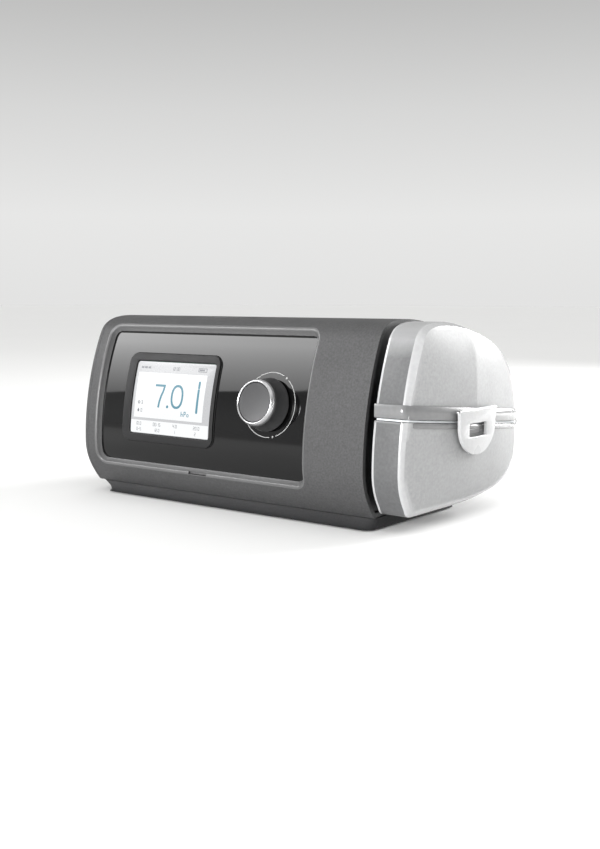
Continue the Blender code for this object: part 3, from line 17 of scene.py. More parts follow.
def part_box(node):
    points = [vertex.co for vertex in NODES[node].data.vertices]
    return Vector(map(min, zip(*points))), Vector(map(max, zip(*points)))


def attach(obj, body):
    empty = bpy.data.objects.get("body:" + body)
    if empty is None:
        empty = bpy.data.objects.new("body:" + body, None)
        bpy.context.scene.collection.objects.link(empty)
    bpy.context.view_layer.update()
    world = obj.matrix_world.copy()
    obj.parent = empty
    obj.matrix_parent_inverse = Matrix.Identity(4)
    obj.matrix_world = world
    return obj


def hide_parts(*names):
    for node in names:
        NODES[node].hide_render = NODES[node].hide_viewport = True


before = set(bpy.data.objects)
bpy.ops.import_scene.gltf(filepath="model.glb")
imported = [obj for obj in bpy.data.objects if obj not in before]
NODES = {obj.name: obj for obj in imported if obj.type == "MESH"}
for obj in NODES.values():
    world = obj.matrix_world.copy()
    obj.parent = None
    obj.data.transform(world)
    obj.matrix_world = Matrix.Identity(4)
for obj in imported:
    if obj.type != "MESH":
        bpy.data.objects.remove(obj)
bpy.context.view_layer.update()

ORIGIN = Vector((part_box("left_end_cover")[0].x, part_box("housing_sleeve")[0].y, 0))

# ---------------------------------------------------------------- sizes
HOUSING_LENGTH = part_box("housing_sleeve")[1].x - ORIGIN.x
HOUSING_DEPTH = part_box("housing_sleeve")[1].y - ORIGIN.y
HOUSING_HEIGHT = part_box("housing_sleeve")[1].z
WALL = 0.0026
GAP = 0.0003
CAP_DEPTH = 0.006
CHIN = Vector((0.0114, 0.0066))
BELLY_Z = 0.034
BROW = Vector((0.0153, HOUSING_HEIGHT - 0.0108))
TOP_BACK = 0.0409
REAR_TOP_Z = 0.074
REAR_LOW_Z = 0.026
HEEL = Vector((0.0999, 0.0125))

PLINTH_LEFT = 0.017
PLINTH_FLARE = 0.0118
PLINTH_RIGHT = HOUSING_LENGTH + 0.001
PLINTH_FRONT = 0.0049
PLINTH_BACK = 0.0979
PLINTH_LOW_Z = 0.0008
PLINTH_WALL = 0.0022
PLINTH_PLATE = 0.0025
SCREW_PLACES = ((0.052, 0.0249), (0.052, 0.0849), (0.134, 0.0249), (0.134, 0.0849))

RECESS = (0.014, 0.1815, 0.0205, HOUSING_HEIGHT - 0.0067)
RECESS_DEPTH = 0.0035
RECESS_RADIUS = 0.006
LIP = 0.0017
SCREEN = (0.0423, 0.1095, 0.0413, 0.0872)
BEZEL = (0.0357, 0.1124, 0.0365, 0.092)
BEZEL_PROUD = 0.0012
GLASS_INSET = RECESS_DEPTH - 0.0007

KNOB_U = 0.1532
KNOB_Z = 0.0655
KNOB_RADIUS = 0.0156
KNOB_TIP = 0.0127
KNOB_LENGTH = 0.014
DIAL_RING = 0.0188

BUTTON = (0.104, 0.0349, 0.040, 0.009)

DOCK_U = HOUSING_LENGTH + 0.005
RIDGE_U = DOCK_U + 0.027
CHAMBER_BOW = 0.0085
CORNER_U = RIDGE_U - CHAMBER_BOW
CHAMBER_BEVEL = 0.0022
CHAMBER_INSET = 0.0012
CHAMBER_BACK = 0.1299
CHAMBER_LOW_Z = 0.0097
CHAMBER_TOP = HOUSING_HEIGHT - 0.0012
CHAMBER_WALL = 0.002
SPLIT_Z = 0.0633
SPLIT_SLOPE = 0.0906
SEAL_GAP = 0.0016
BELT_HEIGHT = 0.0075
BELT_PROUD = 0.0008
MID_V = (CHAMBER_INSET + CHAMBER_BACK) / 2
HALF_V = (CHAMBER_BACK - CHAMBER_INSET) / 2
MID_Z = (HOUSING_HEIGHT + CHAMBER_LOW_Z) / 2
HALF_Z = (HOUSING_HEIGHT - CHAMBER_LOW_Z) / 2
HINGE_V = CHAMBER_BACK + 0.0022
HINGE_Z = SPLIT_Z - SPLIT_SLOPE * CHAMBER_BACK - 0.0008
HINGE_RADIUS = 0.0024
INNER_LEFT = DOCK_U - 0.074
INNER_V = (0.0319, 0.1119)
INNER_Z = (0.0149, 0.048)
PORTS = ((0.0469, 0.082), (0.0869, 0.080))
PORT_RADIUS = 0.0075

LATCH_V = 0.0619
LATCH_HALF = 0.0201
LATCH_LOW = 0.0393
LATCH_HINGE_Z = 0.0643
LATCH_U = RIDGE_U + BELT_PROUD + GAP
LATCH_THICK = 0.002
SLOT = (LATCH_V - 0.0096, LATCH_V + 0.0096, 0.0495, 0.057)

REAR_THICK = 0.0024
REAR = (0.018, 0.206, 0.0285, 0.0715)
OUTLET = (0.129, 0.050)
WELL_RADIUS = 0.018
FILTER = (0.022, 0.060, 0.038, 0.062)
CARD = (0.074, 0.104, 0.040, 0.050)
JACK = (0.172, 0.184, 0.038, 0.048)
DOOR_THICK = 0.002


# ---------------------------------------------------------------- outlines
def arc(start, handle_a, handle_b, end, count):
    """Points of one cubic curve in the (v, z) plane, without its last point."""
    points = interpolate_bezier(
        Vector(start), Vector(handle_a), Vector(handle_b), Vector(end), count + 1)
    return [(p[0], p[1]) for p in points[:-1]]


def front_curve(count=24):
    """Housing front from the chin, over the belly and the brow, to the level top."""
    rise = BROW.y - BELLY_Z
    tuck = BELLY_Z - CHIN.y
    chin = arc(CHIN, (CHIN.x * 0.3, CHIN.y + tuck * 0.36), (0, BELLY_Z - tuck * 0.36),
               (0, BELLY_Z), count)
    face = arc((0, BELLY_Z), (0, BELLY_Z + rise * 0.35), (BROW.x * 0.42, BROW.y - rise * 0.28),
               BROW, count)
    brow = arc(BROW, (BROW.x + 0.003, BROW.y + 0.007), (TOP_BACK - 0.016, HOUSING_HEIGHT),
               (TOP_BACK, HOUSING_HEIGHT), count)
    return chin + face + brow + [(TOP_BACK, HOUSING_HEIGHT)]


def housing_outline(count=24):
    """Closed outline of the housing, clockwise from the chin as seen from the right end."""
    crown = arc((TOP_BACK, HOUSING_HEIGHT), (TOP_BACK + 0.034, HOUSING_HEIGHT),
                (HOUSING_DEPTH, REAR_TOP_Z + 0.020), (HOUSING_DEPTH, REAR_TOP_Z), count)
    heel = arc((HOUSING_DEPTH, REAR_LOW_Z), (HOUSING_DEPTH, REAR_LOW_Z - 0.008),
               (HEEL.x + 0.021, HEEL.y + 0.0015), HEEL, count // 2)
    return front_curve(count)[:-1] + crown + [(HOUSING_DEPTH, REAR_TOP_Z)] + heel + [
        (HEEL.x, HEEL.y)]


def offset(points, distance, closed=True):
    """Move a clockwise (v, z) outline inwards by distance along its own normals."""
    count = len(points)
    result = []
    for i, point in enumerate(points):
        before = points[i - 1] if closed or i else point
        after = points[(i + 1) % count] if closed or i < count - 1 else point
        normals = []
        for a, b in ((before, point), (point, after)):
            run = Vector((b[0] - a[0], b[1] - a[1]))
            if run.length > 1e-9:
                run.normalize()
                normals.append(Vector((run.y, -run.x)))
        mean = sum(normals, Vector((0, 0))).normalized()
        reach = distance / max(mean.dot(normals[0]), 0.5)
        result.append((point[0] + mean.x * reach, point[1] + mean.y * reach))
    return result


def chamber_outline(inset, count=20):
    """Closed outline of the water chamber, in line with the housing's front."""
    front = [p for p in offset(front_curve(count), CHAMBER_INSET, closed=False)
             if CHAMBER_LOW_Z + 0.0035 < p[1] < CHAMBER_TOP - 0.0002]
    chin = arc((0.014, CHAMBER_LOW_Z), (0.0095, CHAMBER_LOW_Z),
               (front[0][0] + 0.0014, CHAMBER_LOW_Z + 0.0012), front[0], 5)
    crown = arc((TOP_BACK, CHAMBER_TOP), (TOP_BACK + 0.034, CHAMBER_TOP),
                (CHAMBER_BACK, 0.092), (CHAMBER_BACK, 0.058), count)
    low = arc((CHAMBER_BACK, 0.044), (CHAMBER_BACK, 0.022),
              (CHAMBER_BACK - 0.017, CHAMBER_LOW_Z + 0.0013), (0.0649, CHAMBER_LOW_Z), count)
    points = chin + front + crown + [(CHAMBER_BACK, 0.058)] + low + [(0.0649, CHAMBER_LOW_Z)]
    return with_middle(offset(points, inset))


def with_middle(points):
    """Adds a point wherever the outline crosses the chamber's middle plane."""
    result = []
    for a, b in zip(points, points[1:] + points[:1]):
        result.append(a)
        if (a[0] - MID_V) * (b[0] - MID_V) < 0:
            share = (MID_V - a[0]) / (b[0] - a[0])
            result.append((MID_V, a[1] + (b[1] - a[1]) * share))
    return result


def front_at(z, inset=0.0):
    """Point (v, z) and outward normal of the front skin moved in by inset, at height z."""
    curve = front_curve(40)
    for a, b in zip(curve, curve[1:]):
        if a[1] <= z <= b[1]:
            share = (z - a[1]) / (b[1] - a[1])
            run = Vector((b[0] - a[0], b[1] - a[1])).normalized()
            out = Vector((-run.y, run.x))
            return Vector((a[0] + (b[0] - a[0]) * share - out.x * inset, z - out.y * inset)), out
    raise ValueError("height is outside the front")


def rounded(x0, x1, y0, y1, radius, steps=8):
    """Counter-clockwise rectangle with round corners."""
    points = []
    for cx, cy, turn in ((x1, y0, -90), (x1, y1, 0), (x0, y1, 90), (x0, y0, 180)):
        mx = cx - radius if cx == x1 else cx + radius
        my = cy - radius if cy == y1 else cy + radius
        for k in range(steps + 1):
            angle = math.radians(turn + 90 * k / steps)
            points.append((mx + radius * math.cos(angle), my + radius * math.sin(angle)))
    return points


def circle(x, y, radius, steps=64):
    return [(x + radius * math.cos(2 * math.pi * k / steps),
             y + radius * math.sin(2 * math.pi * k / steps)) for k in range(steps)]


def split_z(v, drop=0.0):
    return SPLIT_Z - SPLIT_SLOPE * v - drop


def bow(v, z, crease=0.0):
    """How far the chamber's end stands past its corners; crease folds its middle."""
    t = abs((v - MID_V) / HALF_V)
    across = 1 - crease * t - (1 - crease) * t * t
    upright = 1 - (abs(z - MID_Z) / HALF_Z) ** 4
    return CHAMBER_BOW * max(across, 0) * max(upright, 0)


def plan_outline(grow):
    """Outline of the chamber at the split plane, seen from above, grown by grow."""
    front_v = front_at(split_z(0), CHAMBER_INSET)[0].x - grow
    rear_v = CHAMBER_BACK + grow
    left_u = DOCK_U - min(grow, 0)
    turn = CHAMBER_BEVEL + 0.0008
    points = [(left_u, front_v)]
    for k in range(7):
        angle = math.radians(90 * k / 6)
        points.append((CORNER_U + grow - turn * (1 - math.sin(angle)),
                       front_v + turn * (1 - math.cos(angle))))
    for k in range(1, 32):
        v = front_v + turn + (rear_v - front_v - 2 * turn) * k / 32
        points.append((CORNER_U + bow(v, split_z(v)) + grow, v))
    for k in range(7):
        angle = math.radians(90 - 90 * k / 6)
        points.append((CORNER_U + grow - turn * (1 - math.sin(angle)),
                       rear_v - turn * (1 - math.cos(angle))))
    return points + [(left_u, rear_v)]


# ---------------------------------------------------------------- materials
class Shade:
    """A Principled material with helpers for noise-driven colour, roughness and bump."""

    def __init__(self, name, color, roughness, metallic=0.0, **sockets):
        self.mat = bpy.data.materials.new(name)
        self.mat.use_nodes = True
        self.nodes = self.mat.node_tree.nodes
        self.links = self.mat.node_tree.links
        self.shader = self.nodes["Principled BSDF"]
        self.color = color
        self.roughness = roughness
        self.shader.inputs["Base Color"].default_value = (*color, 1)
        self.shader.inputs["Roughness"].default_value = roughness
        self.shader.inputs["Metallic"].default_value = metallic
        for key, value in sockets.items():
            self.shader.inputs[key.replace("_", " ")].default_value = value
        self.coords = self.nodes.new("ShaderNodeTexCoord")
        self.bumps = None

    def noise(self, scale, detail=3.0, stretch=None):
        node = self.nodes.new("ShaderNodeTexNoise")
        node.inputs["Scale"].default_value = scale
        node.inputs["Detail"].default_value = detail
        source = self.coords.outputs["Object"]
        if stretch:
            mapping = self.nodes.new("ShaderNodeMapping")
            mapping.inputs["Scale"].default_value = stretch
            self.links.new(source, mapping.inputs["Vector"])
            source = mapping.outputs["Vector"]
        self.links.new(source, node.inputs["Vector"])
        return node.outputs["Fac"]

    def spread(self, value, low, high, from_low=0.3, from_high=0.7):
        node = self.nodes.new("ShaderNodeMapRange")
        node.inputs["From Min"].default_value = from_low
        node.inputs["From Max"].default_value = from_high
        node.inputs["To Min"].default_value = low
        node.inputs["To Max"].default_value = high
        self.links.new(value, node.inputs["Value"])
        return node.outputs["Result"]

    def mottle(self, value, amount):
        """Base colour swings by amount either way with value."""
        node = self.nodes.new("ShaderNodeMix")
        node.data_type = "RGBA"
        node.inputs["A"].default_value = (*[c * (1 - amount) for c in self.color], 1)
        node.inputs["B"].default_value = (*[min(c * (1 + amount), 1) for c in self.color], 1)
        self.links.new(value, node.inputs["Factor"])
        self.links.new(node.outputs["Result"], self.shader.inputs["Base Color"])
        return self

    def fade(self, low, high, color):
        """Base colour turns into color between two heights."""
        split = self.nodes.new("ShaderNodeSeparateXYZ")
        self.links.new(self.coords.outputs["Object"], split.inputs["Vector"])
        node = self.nodes.new("ShaderNodeMix")
        node.data_type = "RGBA"
        socket = self.shader.inputs["Base Color"]
        self.links.new(socket.links[0].from_socket, node.inputs["A"])
        node.inputs["B"].default_value = (*color, 1)
        self.links.new(self.spread(split.outputs["Z"], 0, 1, low, high), node.inputs["Factor"])
        self.links.new(node.outputs["Result"], socket)
        return self

    def rough(self, value, amount):
        swing = self.spread(value, self.roughness - amount, self.roughness + amount)
        self.links.new(swing, self.shader.inputs["Roughness"])
        return self

    def bump(self, value, distance, strength=1.0):
        node = self.nodes.new("ShaderNodeBump")
        node.inputs["Distance"].default_value = distance
        node.inputs["Strength"].default_value = strength
        self.links.new(value, node.inputs["Height"])
        if self.bumps:
            self.links.new(self.bumps, node.inputs["Normal"])
        self.bumps = node.outputs["Normal"]
        self.links.new(self.bumps, self.shader.inputs["Normal"])
        return self


def plastic(name, color, roughness, grain=1400, depth=0.00004, tint=0.08, swing=0.06,
            crown=None, **sockets):
    """Moulded plastic: fine spark-eroded grain, faint cloudiness and uneven gloss.

    crown is a paler colour painted near the housing's top: painted light on the top of the wall.
    """
    shade = Shade(name, color, roughness, **sockets)
    fine = shade.noise(grain, 4)
    shade.mottle(shade.spread(shade.noise(grain * 0.6, 5), 0, 1), tint)
    shade.rough(shade.noise(45, 2), swing)
    shade.bump(fine, depth)
    # Painted light: the base colour turns paler towards the top.
    if crown:
        shade.fade(HOUSING_HEIGHT - 0.02, HOUSING_HEIGHT - 0.001, crown)
    return shade.mat


def metal(name, color, roughness, stretch=(1, 1, 30), depth=0.000006, swing=0.05):
    """Metal with fine drawn or turned lines."""
    shade = Shade(name, color, roughness, 1.0)
    lines = shade.noise(400, 4, stretch)
    shade.mottle(lines, 0.06)
    shade.rough(lines, swing)
    shade.bump(lines, depth)
    return shade.mat


def glow(name, color, strength):
    """Lit picture element of the display, with a faint unevenness in its gloss."""
    shade = Shade(name, (0.01, 0.01, 0.01), 0.3, Emission_Strength=strength)
    shade.shader.inputs["Emission Color"].default_value = (*color, 1)
    shade.rough(shade.noise(900, 2), 0.05)
    return shade.mat


def foam(name, color):
    """Fibre filter: tangled threads and small pores."""
    shade = Shade(name, color, 0.95)
    threads = shade.noise(700, 6, (1, 1, 0.35))
    shade.mottle(threads, 0.25)
    shade.bump(threads, 0.0003)
    return shade.mat


def circuit(name):
    """Solder-masked board with copper tracks showing through."""
    shade = Shade(name, (0.02, 0.12, 0.06), 0.4)
    voronoi = shade.nodes.new("ShaderNodeTexVoronoi")
    voronoi.feature = "DISTANCE_TO_EDGE"
    voronoi.inputs["Scale"].default_value = 260
    shade.links.new(shade.coords.outputs["Object"], voronoi.inputs["Vector"])
    shade.mottle(shade.spread(voronoi.outputs["Distance"], 1, 0, 0.02, 0.08), 0.4)
    shade.bump(shade.noise(500, 3), 0.00003)
    return shade.mat


MAT = {
    "charcoal": plastic("charcoal_shell", (0.055, 0.055, 0.056), 0.55, 1500, 0.00005, 0.2,
                        Specular_IOR_Level=0.25),
    # Satin lip: its colour, lighter than the shell, is a painted highlight along the recess rim.
    "lip": plastic("satin_lip_painted_highlight", (0.085, 0.085, 0.086), 0.34, 1500, 0.00002, 0.1),
    # Base: darker than the shell as painted shade under the housing's belly; the rear panel and its
    # doors share it.
    "base": plastic("dark_base", (0.022, 0.022, 0.023), 0.6, 1500, 0.00005, 0.2,
                    Specular_IOR_Level=0.2),
    "black": plastic("black_plastic", (0.012, 0.012, 0.013), 0.5, 1600, 0.00003),
    "groove": plastic("shadow_groove", (0.002, 0.002, 0.002), 0.9, 1200, 0.00002),
    "gloss": plastic("gloss_black", (0.003, 0.003, 0.0032), 0.05, 60, 0.000003, 0.1, 0.01,
                     Specular_IOR_Level=0.32),
    "bezel": plastic("bezel_grey", (0.014, 0.014, 0.0145), 0.45, 1800, 0.00001, 0.05, 0.04,
                     Specular_IOR_Level=0.18),
    "chrome": metal("chrome", (0.6, 0.6, 0.61), 0.17, (1, 1, 1), 0.0000005, 0.01),
    "satin_ring": metal("satin_ring", (0.26, 0.26, 0.265), 0.34, (1, 1, 1), 0.000001, 0.02),
    "satin": plastic("satin_dark", (0.07, 0.07, 0.072), 0.32, 2200, 0.00001, 0.05, 0.04,
                     Metallic=0.6),
    "knob": plastic("knob_dark", (0.026, 0.026, 0.027), 0.4, 2000, 0.00001),
    "steel": metal("steel", (0.56, 0.56, 0.57), 0.28),
    "aluminium": metal("aluminium", (0.76, 0.77, 0.78), 0.36, (30, 1, 1)),
    "rubber": plastic("grey_rubber", (0.03, 0.03, 0.03), 0.85, 900, 0.00006),
    "silicone": plastic("silicone", (0.62, 0.64, 0.66), 0.5, 500, 0.00003, 0.06, 0.08),
    "board": circuit("board_green"),
    "white": plastic("white_plastic", (0.72, 0.72, 0.7), 0.42, 1300, 0.00003),
    "foam": foam("filter_foam", (0.6, 0.6, 0.57)),
    # Frosted collar: its dark colour is painted shade from the dark dock behind the wall, and its
    # paler top is painted light.
    "collar": plastic("frosted_collar_painted_shade_and_top_light", (0.082, 0.083, 0.085), 0.38, 1000, 0.00004, 0.12, 0.06,
                      crown=(0.34, 0.342, 0.345)),
    "frost": plastic("frosted_plastic", (0.3, 0.302, 0.305), 0.5, 1000, 0.00006, 0.09, 0.06),
    # Frosted edge: glossier, and its lighter colour is a painted highlight on the chamber's corner
    # band.
    "frost_clear": plastic("frosted_edge_painted_highlight", (0.37, 0.372, 0.376), 0.24, 700, 0.00001, 0.04, 0.03,
                           Coat_Weight=0.4),
    "belt": plastic("frosted_belt", (0.16, 0.161, 0.163), 0.24, 700, 0.00001, 0.05, 0.05,
                    Coat_Weight=0.5),
    "latch": plastic("frosted_latch", (0.44, 0.442, 0.446), 0.3, 900, 0.00002, 0.05, 0.05,
                     Coat_Weight=0.3),
    "print": plastic("printed_white", (0.3, 0.3, 0.3), 0.4, 900, 0.000005),
    "lcd_white": glow("lcd_white", (0.90, 0.915, 0.925), 1.0),
    "lcd_grey": glow("lcd_grey", (0.55, 0.555, 0.57), 1.0),
    "lcd_ink": glow("lcd_ink", (0.16, 0.17, 0.19), 1.0),
    "lcd_teal": glow("lcd_teal", (0.06, 0.25, 0.34), 1.0),
}


# ---------------------------------------------------------------- pieces
def linked(name, data):
    obj = bpy.data.objects.new(name, data)
    bpy.context.scene.collection.objects.link(obj)
    return obj


def placed(name, mesh, matrix=None):
    """An object set down from the housing's corner."""
    obj = linked(name, mesh)
    obj.matrix_world = Matrix.Translation(ORIGIN) @ (matrix or Matrix.Identity(4))
    return obj


def add(name, mesh, body, mat, nodes=(), matrix=None, sharp=35):
    """A visible piece: placed from the corner, riding on a body, standing for CAD nodes."""
    obj = placed(name, mesh, matrix)
    if mat and not mesh.materials:
        mesh.materials.append(MAT[mat])
    for polygon in mesh.polygons:
        polygon.use_smooth = True
    mesh.set_sharp_from_angle(angle=math.radians(sharp))
    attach(obj, body)
    if nodes:
        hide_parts(*nodes)
    return obj


def cutter(mesh, matrix=None):
    """A tool body for cut(), in place in the part's frame."""
    return placed("tool", mesh, matrix)


def cut(obj, tools, operation="DIFFERENCE"):
    """Applies Booleans to a piece and removes the tools."""
    bpy.context.view_layer.update()
    for index, tool in enumerate(tools):
        mod = obj.modifiers.new(f"cut_{index}", "BOOLEAN")
        mod.operation = operation
        mod.object = tool
        mod.solver = "EXACT"
    apply_modifiers(obj)
    for tool in tools:
        mesh = tool.data
        bpy.data.objects.remove(tool)
        bpy.data.meshes.remove(mesh)
    return obj


def apply_modifiers(obj):
    depsgraph = bpy.context.evaluated_depsgraph_get()
    mesh = bpy.data.meshes.new_from_object(obj.evaluated_get(depsgraph))
    obj.modifiers.clear()
    old = obj.data
    obj.data = mesh
    bpy.data.meshes.remove(old)
    return obj


def soften(obj, width, segments=2, angle=40, where=None):
    """Rounds the sharp edges of a piece, or those of them whose middle passes where()."""
    mod = obj.modifiers.new("soft_edges", "BEVEL")
    mod.width = width
    mod.segments = segments
    mod.limit_method = "WEIGHT" if where else "ANGLE"
    mod.angle_limit = math.radians(angle)
    if where:
        with editing(obj.data) as bm:
            weight = bm.edges.layers.float.new("bevel_weight_edge")
            for edge in bm.edges:
                middle = (edge.verts[0].co + edge.verts[1].co) / 2
                if edge.calc_face_angle(0) > mod.angle_limit and where(middle):
                    edge[weight] = 1.0
    mod.harden_normals = True
    mod.use_clamp_overlap = True
    return obj


@contextmanager
def editing(mesh):
    """Opens a mesh for bmesh work and writes it back at the end."""
    bm = bmesh.new()
    bm.from_mesh(mesh)
    yield bm
    bm.to_mesh(mesh)
    bm.free()


def to_mesh(bm, name):
    mesh = bpy.data.meshes.new(name)
    bmesh.ops.recalc_face_normals(bm, faces=bm.faces)
    bm.to_mesh(mesh)
    bm.free()
    return mesh


def skin(rings, name, cap_first=False, cap_last=False):
    """Quads over rings of equal point counts."""
    bm = bmesh.new()
    rows = [[bm.verts.new(p) for p in ring] for ring in rings]
    for low, high in zip(rows, rows[1:]):
        for i in range(len(low)):
            j = (i + 1) % len(low)
            bm.faces.new((low[i], low[j], high[j], high[i]))
    if cap_first:
        bm.faces.new(rows[0])
    if cap_last:
        bm.faces.new(rows[-1])
    return to_mesh(bm, name)


def weld(mesh):
    """Joins points that fall together and turns all faces outwards."""
    with editing(mesh) as bm:
        bmesh.ops.remove_doubles(bm, verts=bm.verts, dist=1e-7)
        bmesh.ops.recalc_face_normals(bm, faces=bm.faces)
    return mesh


def flat(outlines, thickness, name, edge=0.0):
    """Solid of an outline with holes in its XY plane; edge rounds it without growing it."""
    data = bpy.data.curves.new(name, "CURVE")
    data.dimensions = "2D"
    data.fill_mode = "BOTH"
    data.extrude = thickness / 2 - edge
    data.bevel_depth = edge
    data.bevel_resolution = 2
    data.offset = -edge
    for outline in outlines:
        spline = data.splines.new("POLY")
        spline.points.add(len(outline) - 1)
        for point, (x, y) in zip(spline.points, outline):
            point.co = (x, y, 0, 1)
        spline.use_cyclic_u = True
    obj = linked(name, data)
    bpy.context.view_layer.update()
    depsgraph = bpy.context.evaluated_depsgraph_get()
    mesh = bpy.data.meshes.new_from_object(obj.evaluated_get(depsgraph))
    bpy.data.objects.remove(obj)
    bpy.data.curves.remove(data)
    mesh.materials.clear()
    with editing(mesh) as bm:
        bmesh.ops.remove_doubles(bm, verts=bm.verts, dist=1e-6)
    return mesh


ALONG_X = Matrix(((0, 0, 1, 0), (1, 0, 0, 0), (0, 1, 0, 0), (0, 0, 0, 1)))
ALONG_Y = Matrix(((1, 0, 0, 0), (0, 0, -1, 0), (0, 1, 0, 0), (0, 0, 0, 1)))


def at_u(u0, u1):
    return Matrix.Translation(((u0 + u1) / 2, 0, 0)) @ ALONG_X


def at_v(v0, v1):
    return Matrix.Translation((0, (v0 + v1) / 2, 0)) @ ALONG_Y


def at_z(z0, z1):
    return Matrix.Translation((0, 0, (z0 + z1) / 2))


def block(low, high, name="block"):
    bm = bmesh.new()
    size = [b - a for a, b in zip(low, high)]
    middle = [(a + b) / 2 for a, b in zip(low, high)]
    bmesh.ops.create_cube(bm, size=1, matrix=Matrix.Translation(middle)
                          @ Matrix.Diagonal((*size, 1)))
    return to_mesh(bm, name)


def rod(start, end, radius, name="rod", sides=48):
    start, end = Vector(start), Vector(end)
    run = end - start
    turn = Vector((0, 0, 1)).rotation_difference(run).to_matrix().to_4x4()
    bm = bmesh.new()
    bmesh.ops.create_cone(bm, cap_ends=True, segments=sides, radius1=radius, radius2=radius,
                          depth=run.length, matrix=Matrix.Translation((start + end) / 2) @ turn)
    return to_mesh(bm, name)


def turned(profile, name, sides=96):
    """(radius, height) loop spun round Z."""
    rings = [[(x, y, height) for x, y in circle(0, 0, radius, sides)]
             for radius, height in profile + profile[:1]]
    return weld(skin(rings, name))


def strip(us, z0, z1, inset, thickness, name, steps=40):
    """Sheet that follows the front skin; us are its stations from left to right."""
    rows = []
    for depth in (inset, inset + thickness):
        for k in range(steps + 1):
            height = z0 + (z1 - z0) * (k if depth == inset else steps - k) / steps
            point = front_at(height, depth)[0]
            rows.append([(u, point.x, point.y) for u in us])
    bm = bmesh.new()
    grid = [[bm.verts.new(p) for p in row] for row in rows]
    for low, high in zip(grid, grid[1:] + grid[:1]):
        for i in range(len(us) - 1):
            bm.faces.new((low[i], low[i + 1], high[i + 1], high[i]))
    bm.faces.new([row[0] for row in grid])
    bm.faces.new([row[-1] for row in reversed(grid)])
    return to_mesh(bm, name)


def on_front(mesh, inset):
    """Lays a flat (u, z) mesh, whose third coordinate is its height, on the front skin."""
    for vertex in mesh.vertices:
        u, z, lift = vertex.co
        point, out = front_at(z, inset)
        vertex.co = (u, point.x + out.x * lift, point.y + out.y * lift)
    return mesh


# ---------------------------------------------------------------- housing
def make_sleeve():
    outline = housing_outline()
    rings = [[(u, v, z) for v, z in outline] for u in (CAP_DEPTH, HOUSING_LENGTH)]
    inner = [[(u, v, z) for v, z in offset(outline, WALL)] for u in (HOUSING_LENGTH, CAP_DEPTH)]
    sleeve = add("sleeve_skin", skin(rings + inner + rings[:1], "sleeve_skin"), "housing",
                 "charcoal", ["housing_sleeve"])
    weld(sleeve.data)
    u, v, length, width = BUTTON
    stadium = rounded(u - length / 2 - 0.0004, u + length / 2 + 0.0004,
                      v - width / 2 - 0.0004, v + width / 2 + 0.0004, width / 2 + 0.00039, 12)
    front = INNER_V[0] - 0.0027
    mouth = rounded(*grown(RECESS, LIP), RECESS_RADIUS + LIP, 12)
    cut(sleeve, [
        cutter(flat([mouth], 0.06, "recess"), at_v(-0.02, 0.04)),
        cutter(block((REAR[0] - GAP, HOUSING_DEPTH - 0.01, REAR[2] - GAP),
                     (REAR[1] + GAP, HOUSING_DEPTH + 0.01, REAR[3] + GAP))),
        cutter(block((INNER_LEFT - 0.005, front, 0),
                     (HOUSING_LENGTH + 0.01, INNER_V[1] + 0.0029, 0.022))),
        cutter(flat([stadium], 0.04, "stadium"), at_z(0.09, 0.13)),
    ] + [cutter(rod((su, sv, 0), (su, sv, 0.018), 0.0018)) for su, sv in SCREW_PLACES])
    smooth(sleeve, 30)
    soften(sleeve, 0.0008, 3, 35, lambda spot: spot.y > 0.03 or spot.x > RECESS[1] + 0.01)
    make_lip()


def make_lip():
    """Rounded return edge from the housing's skin down to the panel."""
    profile = []
    for k in range(9):
        angle = math.radians(90 * k / 8)
        profile.append((LIP * (1 - math.sin(angle)), LIP * (1 - math.cos(angle)) * 0.8))
    profile += [(-0.0013, RECESS_DEPTH - 0.0001), (LIP, RECESS_DEPTH - 0.0001)]
    rings = []
    for grow, inset in profile + profile[:1]:
        ring = []
        for u, z in along(rounded(*grown(RECESS, grow), RECESS_RADIUS + grow, 12), 0.003):
            point = front_at(z, inset)[0]
            ring.append((u, point.x, point.y))
        rings.append(ring)
    lip = add("recess_lip", skin(rings, "recess_lip"), "housing", "lip",
              [], None, 50)
    weld(lip.data)
    low = RECESS[2]
    point = front_at(low)[0]
    cut(lip, [cutter(block((0.0925, point.x - 0.001, low - 0.0012),
                           (0.107, point.x + 0.0022, low + 0.0004)))])
    smooth(lip, 50)


def along(outline, pitch):
    """The same outline with extra points, so that its long sides can bend."""
    points = []
    for a, b in zip(outline, outline[1:] + outline[:1]):
        steps = 29 if abs(b[1] - a[1]) > pitch * 4 else 1
        for k in range(steps):
            points.append((a[0] + (b[0] - a[0]) * k / steps, a[1] + (b[1] - a[1]) * k / steps))
    return points


def smooth(obj, angle):
    for polygon in obj.data.polygons:
        polygon.use_smooth = True
    obj.data.set_sharp_from_angle(angle=math.radians(angle))


def make_end_cover():
    start = CAP_DEPTH - GAP
    rings = [[(start, v, z) for v, z in housing_outline()]]
    for k in range(15):
        angle = math.radians(90 * k / 14)
        inset = 0.006 * (1 - math.cos(angle))
        u = (start - 0.0004) * (1 - math.sin(angle))
        rings.append([(u, v, z) for v, z in offset(housing_outline(), inset)])
    cover = add("end_cover_skin", skin(rings, "end_cover_skin", cap_last=True), "housing",
                "charcoal", ["left_end_cover"])
    wall = cover.modifiers.new("wall", "SOLIDIFY")
    wall.thickness = 0.002
    wall.offset = -1
    return cover


